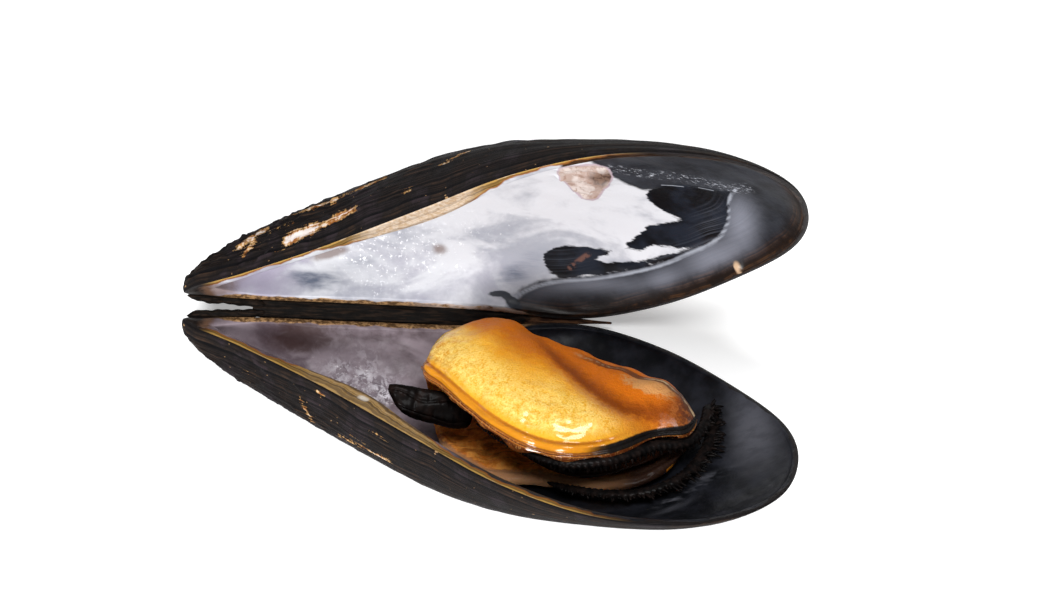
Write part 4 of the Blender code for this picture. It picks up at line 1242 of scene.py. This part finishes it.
# %% The inside of the near valve
def near_inside_material():
    """Violet grey nacre that turns to slate under the meat, with a wet spot and the rim over it. The nacre is
    darker than the far valve's, partly in its own tint and partly by painted shade.
    """
    made, nodes, shader = start_material("near_nacre", Specular_IOR_Level=0.09, Coat_Roughness=0.12)
    place = nodes.attribute("plan", "Vector")
    lines, patch = place_group(nodes, GROWTH_LINES, {"Place": place, **nodes.marks("Growth", "Edge")})[:2]
    # The same nacre as the far valve's with darker tints: partly the shell's own violet grey, partly painted shade.
    pearl = place_group(nodes, NACRE, {
        "Place": place, "Light": (0.245, 0.20, 0.225, 1.0), "Shade": (0.082, 0.060, 0.066, 1.0), "Blue": 0.0,
        **nodes.marks("Bright", "Lilac", "Brown", "Wet", "Tip")})
    along = nodes.add("SeparateXYZ", {"Vector": place}, 0)
    reach = nodes.plus(along, nodes.times(nodes.noise(place, 0.2, 3.0), 7.0))
    slate = nodes.mix(nodes.mask(patch, 0.40, 0.65), (0.0045, 0.005, 0.0065), (0.013, 0.014, 0.019))
    cloud = nodes.noise(nodes.stretched(place, (0.6, 1.4, 1.0)), 0.7, 5.0, 0.6)
    # Painted sheen: a soft grey highlight laid on the slate as colour, with the real scuffs added to it.
    painted_sheen = nodes.times(nodes.attribute("painted_sheen"), nodes.blend(nodes.mask(cloud, 0.35, 0.60), 0.70, 1.0))
    painted_sheen = nodes.plus(painted_sheen, nodes.times(nodes.attribute("scuff"), nodes.mask(cloud, 0.44, 0.60)))
    slate = nodes.mix(nodes.times(painted_sheen, 0.9, True), slate, (0.078, 0.079, 0.093))
    # The wet spot is painted pale in its pits: painted highlights where the wet nacre catches the light.
    wet = nodes.times(nodes.attribute("wet"), nodes.mask(patch, 0.35, 0.62))
    pits = nodes.mask(nodes.noise(place, 1.5, 4.0, 0.65, 0.6), 0.42, 0.58)
    pale = nodes.mix(nodes.times(wet, 0.9, True), pearl["Color"],
                     nodes.mix(pits, (0.16, 0.135, 0.155), (0.66, 0.63, 0.68)))
    colour = nodes.mix(nodes.mask(reach, 28.0, 35.0), pale, slate)
    rim = place_group(nodes, RIM_BAND, {
        "Place": place, "Creamy": 0.12,
        **nodes.marks("Edge", "Golden", "Plate", "Breadth")})
    colour = nodes.mix(rim["Mask"], colour, rim["Color"])
    # A painted highlight: a small cream gleam on the rim.
    painted_gleam = scratch(nodes, place, (17.9, 14.1, 0.0), (18.4, 14.5, 0.0), 0.5)
    colour = nodes.mix(nodes.times(painted_gleam, nodes.mask(patch, 0.30, 0.60)), colour, (0.66, 0.61, 0.54))
    height = nodes.plus(pearl["Height"], nodes.times(lines, 0.05))
    height = nodes.plus(height, nodes.times(rim["Mask"], rim["Height"]))
    feed(nodes, shader, Base_Color=colour, Normal=nodes.bump(height, 0.5, 0.00012),
         Roughness=nodes.blend(rim["Mask"], nodes.blend(patch, 0.22, 0.40), 0.45),
         Coat_Weight=nodes.times(pearl["Drops"], 0.8))
    return made


# %% [markdown]
# ## The flesh
#
# Cooked mantle is wet and lets light in a little way, so it gets some subsurface light and a thin wet coat. Its
# colour follows the lip: a rust rim, a golden roll, a pale pillow and an orange back. The rest of the meat is
# nearly black, and shows by its gloss alone.

# %% The mantle
def mantle_material():
    """Layers of orange that follow the distances from the lip, the dent, the seam and the hem."""
    made, nodes, shader = start_material(
        "golden_mantle", Subsurface_Weight=0.12, Subsurface_Radius=(1.0, 0.35, 0.06), Subsurface_Scale=0.0008,
        Coat_Roughness=0.13, Specular_IOR_Level=0.08)
    place = nodes.attribute("plan", "Vector")
    lip, behind, hem = nodes.attribute("lip"), nodes.attribute("behind"), nodes.attribute("hem")
    along = nodes.attribute("along")
    broad, mottle = nodes.noise(place, 0.20, 3.0), nodes.noise(place, 1.5, 6.0, 0.68)
    fine = nodes.noise(place, 5.5, 4.0, 0.65)
    off = nodes.minus(mottle, 0.5)
    run = nodes.plus(lip, nodes.spread(broad, 5.0))
    run = nodes.plus(run, nodes.times(off, 4.0))
    wide_end = nodes.plus(along, nodes.times(off, 5.0))
    # The pillow: gold in the middle with pale specks, orange towards its back and its wide end.
    colour = nodes.mix(nodes.mask(run, 6.0, 12.0), (0.66, 0.335, 0.014), (0.60, 0.215, 0.002))
    colour = nodes.mix(nodes.mask(run, 9.0, 13.0), colour, (0.48, 0.120, 0.001))
    colour = nodes.mix(nodes.times(nodes.mask(wide_end, 38.0, 46.0), 0.75), colour, (0.50, 0.19, 0.014))
    colour = nodes.mix(nodes.times(nodes.mask(wide_end, 27.5, 23.5), 0.8), colour, (0.50, 0.19, 0.008))
    pale = nodes.times(nodes.mask(lip, 1.6, 3.2), nodes.mask(run, 10.5, 5.0))
    pale = nodes.times(pale, nodes.mask(wide_end, 47.0, 40.0))
    specks = nodes.plus(nodes.times(mottle, 0.5), nodes.times(fine, 0.5))
    colour = nodes.mix(nodes.times(pale, nodes.mask(specks, 0.36, 0.66)), colour, (0.84, 0.635, 0.19))
    amber = nodes.times(nodes.mask(specks, 0.50, 0.40), 0.17)
    colour = nodes.mix(amber, colour, (0.52, 0.19, 0.004))
    # Behind the dent: rust, deepened partly by painted shade on the sunk back, darkest in the fold, which is
    # painted shade, a thin peach skin, and a pale seam over a brown line at the back.
    depth = nodes.mask(along, 31.0, 38.0)
    sunk = nodes.plus(behind, nodes.times(off, 2.0))
    colour = nodes.mix(nodes.times(nodes.mask(sunk, -2.6, 0.8), depth), colour, (0.50, 0.118, 0.003))
    fold = nodes.times(nodes.mask(sunk, -0.8, 0.5), nodes.mask(sunk, 2.6, 0.7))
    colour = nodes.mix(nodes.times(nodes.times(fold, depth), 0.8), colour, (0.17, 0.032, 0.002))
    skin = nodes.plus(nodes.attribute("membrane"), nodes.times(off, 1.3))
    colour = nodes.mix(nodes.times(nodes.mask(skin, 0.35, 0.60), 0.75), colour, (0.50, 0.27, 0.10))
    end = nodes.times(nodes.mask(wide_end, 46.8, 49.6), nodes.mask(behind, -2.4, -0.6))
    colour = nodes.mix(end, colour,
                       nodes.mix(nodes.mask(mottle, 0.46, 0.56), (0.085, 0.022, 0.008), (0.24, 0.070, 0.014)))
    seam = nodes.plus(nodes.attribute("seam"), nodes.times(off, 0.7))
    seam_here = nodes.times(nodes.mask(along, 37.5, 41.5), nodes.mask(seam, 0.62, 0.40))
    colour = nodes.mix(nodes.times(seam_here, 0.85), colour, (0.075, 0.022, 0.006))
    pale_seam = nodes.times(nodes.mask(seam, 0.20, 0.06), nodes.mask(broad, 0.40, 0.52))
    colour = nodes.mix(nodes.times(seam_here, pale_seam), colour, (0.44, 0.32, 0.18))
    # The lip: the golden roll between two grooves, painted darker as shade in them, and the rim, which turns from
    # rust to black at the wide end.
    rim = nodes.plus(lip, nodes.times(off, 0.16))
    rolled = nodes.mask(wide_end, 45.0, 41.0)
    colour = nodes.mix(nodes.times(rolled, nodes.mask(rim, 1.60, 1.35)), colour, (0.58, 0.22, 0.008))
    # Painted shade: the two grooves are coloured darker.
    groove = nodes.times(nodes.mask(rim, 1.85, 1.60), nodes.mask(rim, 1.25, 1.50))
    colour = nodes.mix(nodes.times(nodes.times(groove, rolled), 0.85), colour, (0.36, 0.10, 0.004))
    groove = nodes.times(nodes.mask(rim, 0.72, 0.58), nodes.mask(rim, 0.38, 0.50))
    colour = nodes.mix(nodes.times(groove, 0.85), colour, (0.15, 0.035, 0.004))
    strands = nodes.lines(nodes.plus(nodes.times(lip, 9.0), nodes.times(broad, 5.0)), Detail=2.0)
    rust = nodes.mix(nodes.mask(strands, 0.44, 0.60), (0.085, 0.017, 0.003), (0.42, 0.14, 0.018))
    rust = nodes.mix(nodes.times(nodes.mask(fine, 0.54, 0.62), 0.6), rust, (0.50, 0.26, 0.08))
    colour = nodes.mix(nodes.mask(rim, 0.52, 0.42), colour, rust)
    begins = nodes.plus(along, nodes.spread(broad, 4.0))
    black = nodes.times(nodes.mask(begins, 39.6, 42.4), nodes.mask(rim, 1.15, 0.95))
    black = nodes.times(black, nodes.mask(rim, 0.10, 0.20))
    colour = nodes.mix(black, colour, (0.005, 0.0035, 0.003))
    # Inside the fold and on the lower lobe: brown, with painted shade that darkens it the deeper it lies, a tan
    # hem, and darker towards the wide end.
    low = nodes.mix(nodes.mask(mottle, 0.40, 0.62), (0.70, 0.215, 0.030), (0.90, 0.37, 0.075))
    low = nodes.mix(nodes.mask(hem, 16.0, 10.0), (0.14, 0.038, 0.008), low)
    creases = nodes.noise(nodes.stretched(place, (0.35, 1.3, 1.0)), 1.1, 3.0)
    low = nodes.mix(nodes.times(nodes.mask(creases, 0.52, 0.42), 0.55), low, (0.26, 0.070, 0.010))
    tan = nodes.mask(nodes.plus(hem, nodes.times(off, 1.2)), 1.5, 0.9)
    low = nodes.mix(tan, low, (0.46, 0.23, 0.11))
    low = nodes.mix(nodes.mask(along, 39.5, 45.0), low, (0.022, 0.009, 0.005))
    outside = nodes.mask(nodes.attribute("upper"), 0.4, 0.6)
    colour = nodes.mix(outside, low, colour)
    grain = nodes.plus(fine, nodes.times(mottle, 1.1))
    wet = nodes.times(nodes.mask(behind, 0.5, -1.5), nodes.blend(nodes.mask(run, 11.0, 6.0), 0.08, 0.95))
    wet = nodes.times(wet, nodes.minus(1.0, nodes.times(black, 0.9)))
    feed(nodes, shader, Base_Color=colour, Roughness=nodes.blend(fine, 0.36, 0.62),
         Coat_Weight=nodes.blend(outside, 0.06, nodes.math("MAXIMUM", wet, 0.04)),
         Normal=nodes.bump(grain, 0.65, 0.00020))
    return made


# %% The black and brown parts
def dark_flesh_material(name, dark, light, scale, rough, gloss):
    """A dark finish with small lumps that catch the light. Scale is in waves a metre, for Object coordinates."""
    made, nodes, shader = start_material(name, Coat_Roughness=0.20, Coat_Weight=gloss, Specular_IOR_Level=0.04)
    place = nodes.add("TexCoord", {}, "Object")
    fine = nodes.noise(place, scale, 4.0, 0.6)
    feed(nodes, shader, Base_Color=nodes.mix(nodes.mask(fine, 0.42, 0.66), dark, light),
         Roughness=nodes.blend(fine, rough, rough + 0.25), Normal=nodes.bump(fine, 0.4, 0.00012))
    return made


def ligament_material():
    """Dark fibres along the hinge. Beyond the hinge the strip is a brown skin."""
    made, nodes, shader = start_material("dark_ligament", Specular_IOR_Level=0.06)
    place, along = nodes.attribute("plan", "Vector"), nodes.attribute("along")
    fibres = nodes.noise(nodes.stretched(place, (0.35, 3.0, 3.0)), 1.6, 4.0, 0.6)
    fine = nodes.noise(place, 2.5, 3.0)
    colour = nodes.mix(nodes.mask(fibres, 0.45, 0.66), (0.0025, 0.0018, 0.0015), (0.014, 0.008, 0.005))
    reach = nodes.plus(along, nodes.spread(fine, 2.0))
    brown = nodes.mix(nodes.mask(fibres, 0.42, 0.60), (0.022, 0.010, 0.006), (0.10, 0.048, 0.024))
    colour = nodes.mix(nodes.mask(reach, 32.6, 34.2), colour, brown)
    feed(nodes, shader, Base_Color=colour, Roughness=nodes.blend(fine, 0.5, 0.8),
         Normal=nodes.bump(fibres, 0.5, 0.00012))
    return made


outer_skin = outer_skin_material()
ligament_strip.data.materials.append(ligament_material())
for shell, inside in ((near_shell, near_inside_material()), (far_shell, far_inside_material())):
    shell.data.materials.append(inside)
    shell.data.materials.append(outer_skin)
mantle_flesh.data.materials.append(mantle_material())
for piece, name, dark, light, scale, rough, gloss in (
    (black_frill, "black_frill", (0.0025, 0.002, 0.002), (0.010, 0.006, 0.005), 1400.0, 0.45, 0.06),
    (foot_strap, "black_foot", (0.0016, 0.0009, 0.0008), (0.0065, 0.0030, 0.0022), 900.0, 0.42, 0.05),
    (gill_leaves, "brown_gills", (0.012, 0.004, 0.002), (0.045, 0.014, 0.006), 600.0, 0.45, 0.2),
):
    piece.data.materials.append(dark_flesh_material(name, dark, light, scale, rough, gloss))
print("materials:", [made.name for made in bpy.data.materials])

# %% [markdown]
# ## What stands for what
#
# Every new piece rides on the one body and replaces the imported node that it was drawn over.

# %% Bodies and nodes
for piece, node, slot in (
    (near_shell, "near_valve", "shell_black"), (far_shell, "far_valve", "shell_black"),
    (ligament_strip, "ligament", "ligament_brown"), (mantle_flesh, "mantle", "mantle_orange"),
    (black_frill, "mantle_frill", "frill_black"), (foot_strap, "foot", "foot_black"),
    (gill_leaves, "gills", "gill_brown"),
):
    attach(piece, "root")
    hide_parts(node)

# %% [markdown]
# ## Floor, light and camera
#
# A plain white floor, a large soft light from the front and left, and a camera far off with a long lens, where
# the photograph was taken from.

# %% Floor
floor_mesh = bpy.data.meshes.new("floor")
floor_mesh.from_pydata([(-3, -3, 0), (3, -3, 0), (3, 3, 0), (-3, 3, 0)], [], [(0, 1, 2, 3)])
floor = bpy.data.objects.new("floor", floor_mesh)
bpy.context.scene.collection.objects.link(floor)
floor_material, _, floor_shader = start_material(
    "white_floor", Base_Color=(0.85, 0.85, 0.85, 1.0), Roughness=0.9, Emission_Color=(1.0, 1.0, 1.0, 1.0),
    Emission_Strength=0.34)
floor_mesh.materials.append(floor_material)


# %% Lights
def soft_light(name, place, target, size, power):
    """A round area light that faces its target."""
    light = bpy.data.lights.new(name, "AREA")
    light.shape, light.size, light.energy = "DISK", size, power
    lamp = bpy.data.objects.new(name, light)
    lamp.location = place
    aim = np.array(target) - np.array(place)
    lamp.rotation_euler = mathutils.Vector(aim).to_track_quat("-Z", "Y").to_euler()
    bpy.context.scene.collection.objects.link(lamp)


soft_light("key", (-0.22, -0.62, 0.46), (0.0, 0.0, 0.01), 0.34, 9.0)
soft_light("top", (0.10, 0.05, 0.75), (0.0, 0.0, 0.01), 0.40, 5.0)
world = bpy.context.scene.world or bpy.data.worlds.new("studio")
bpy.context.scene.world = world
world.use_nodes = True
world.node_tree.nodes["Background"].inputs["Color"].default_value = (1.0, 1.0, 1.0, 1.0)
world.node_tree.nodes["Background"].inputs["Strength"].default_value = 0.12
bpy.context.scene.view_settings.view_transform = "Standard"


# %% Camera
def turned(degrees, axis):
    """A rotation matrix about x, y or z."""
    c, s = math.cos(math.radians(degrees)), math.sin(math.radians(degrees))
    plane = {"x": (1, 2), "y": (2, 0), "z": (0, 1)}[axis]
    made = np.eye(3)
    made[plane[0], plane[0]] = made[plane[1], plane[1]] = c
    made[plane[0], plane[1]], made[plane[1], plane[0]] = -s, s
    return made


view = turned(-2.3, "z") @ turned(2.46, "x") @ turned(-3.13, "y")
camera_data = bpy.data.cameras.new("camera")
camera_data.lens, camera_data.sensor_width = 6162 * 36 / 1056, 36.0
camera_data.shift_x, camera_data.shift_y = 26.6 / 1056, 14.0 / 1056
camera_data.clip_end = 10.0
camera = bpy.data.objects.new("camera", camera_data)
axes = (view @ LIE.T).T
camera.matrix_world = mathutils.Matrix.Translation(from_hinge(np.array([31.0, 0.0, 8.0]) + 600 * view[2])) @ \
    mathutils.Matrix(axes.tolist()).to_4x4()
bpy.context.scene.collection.objects.link(camera)
bpy.context.scene.camera = camera
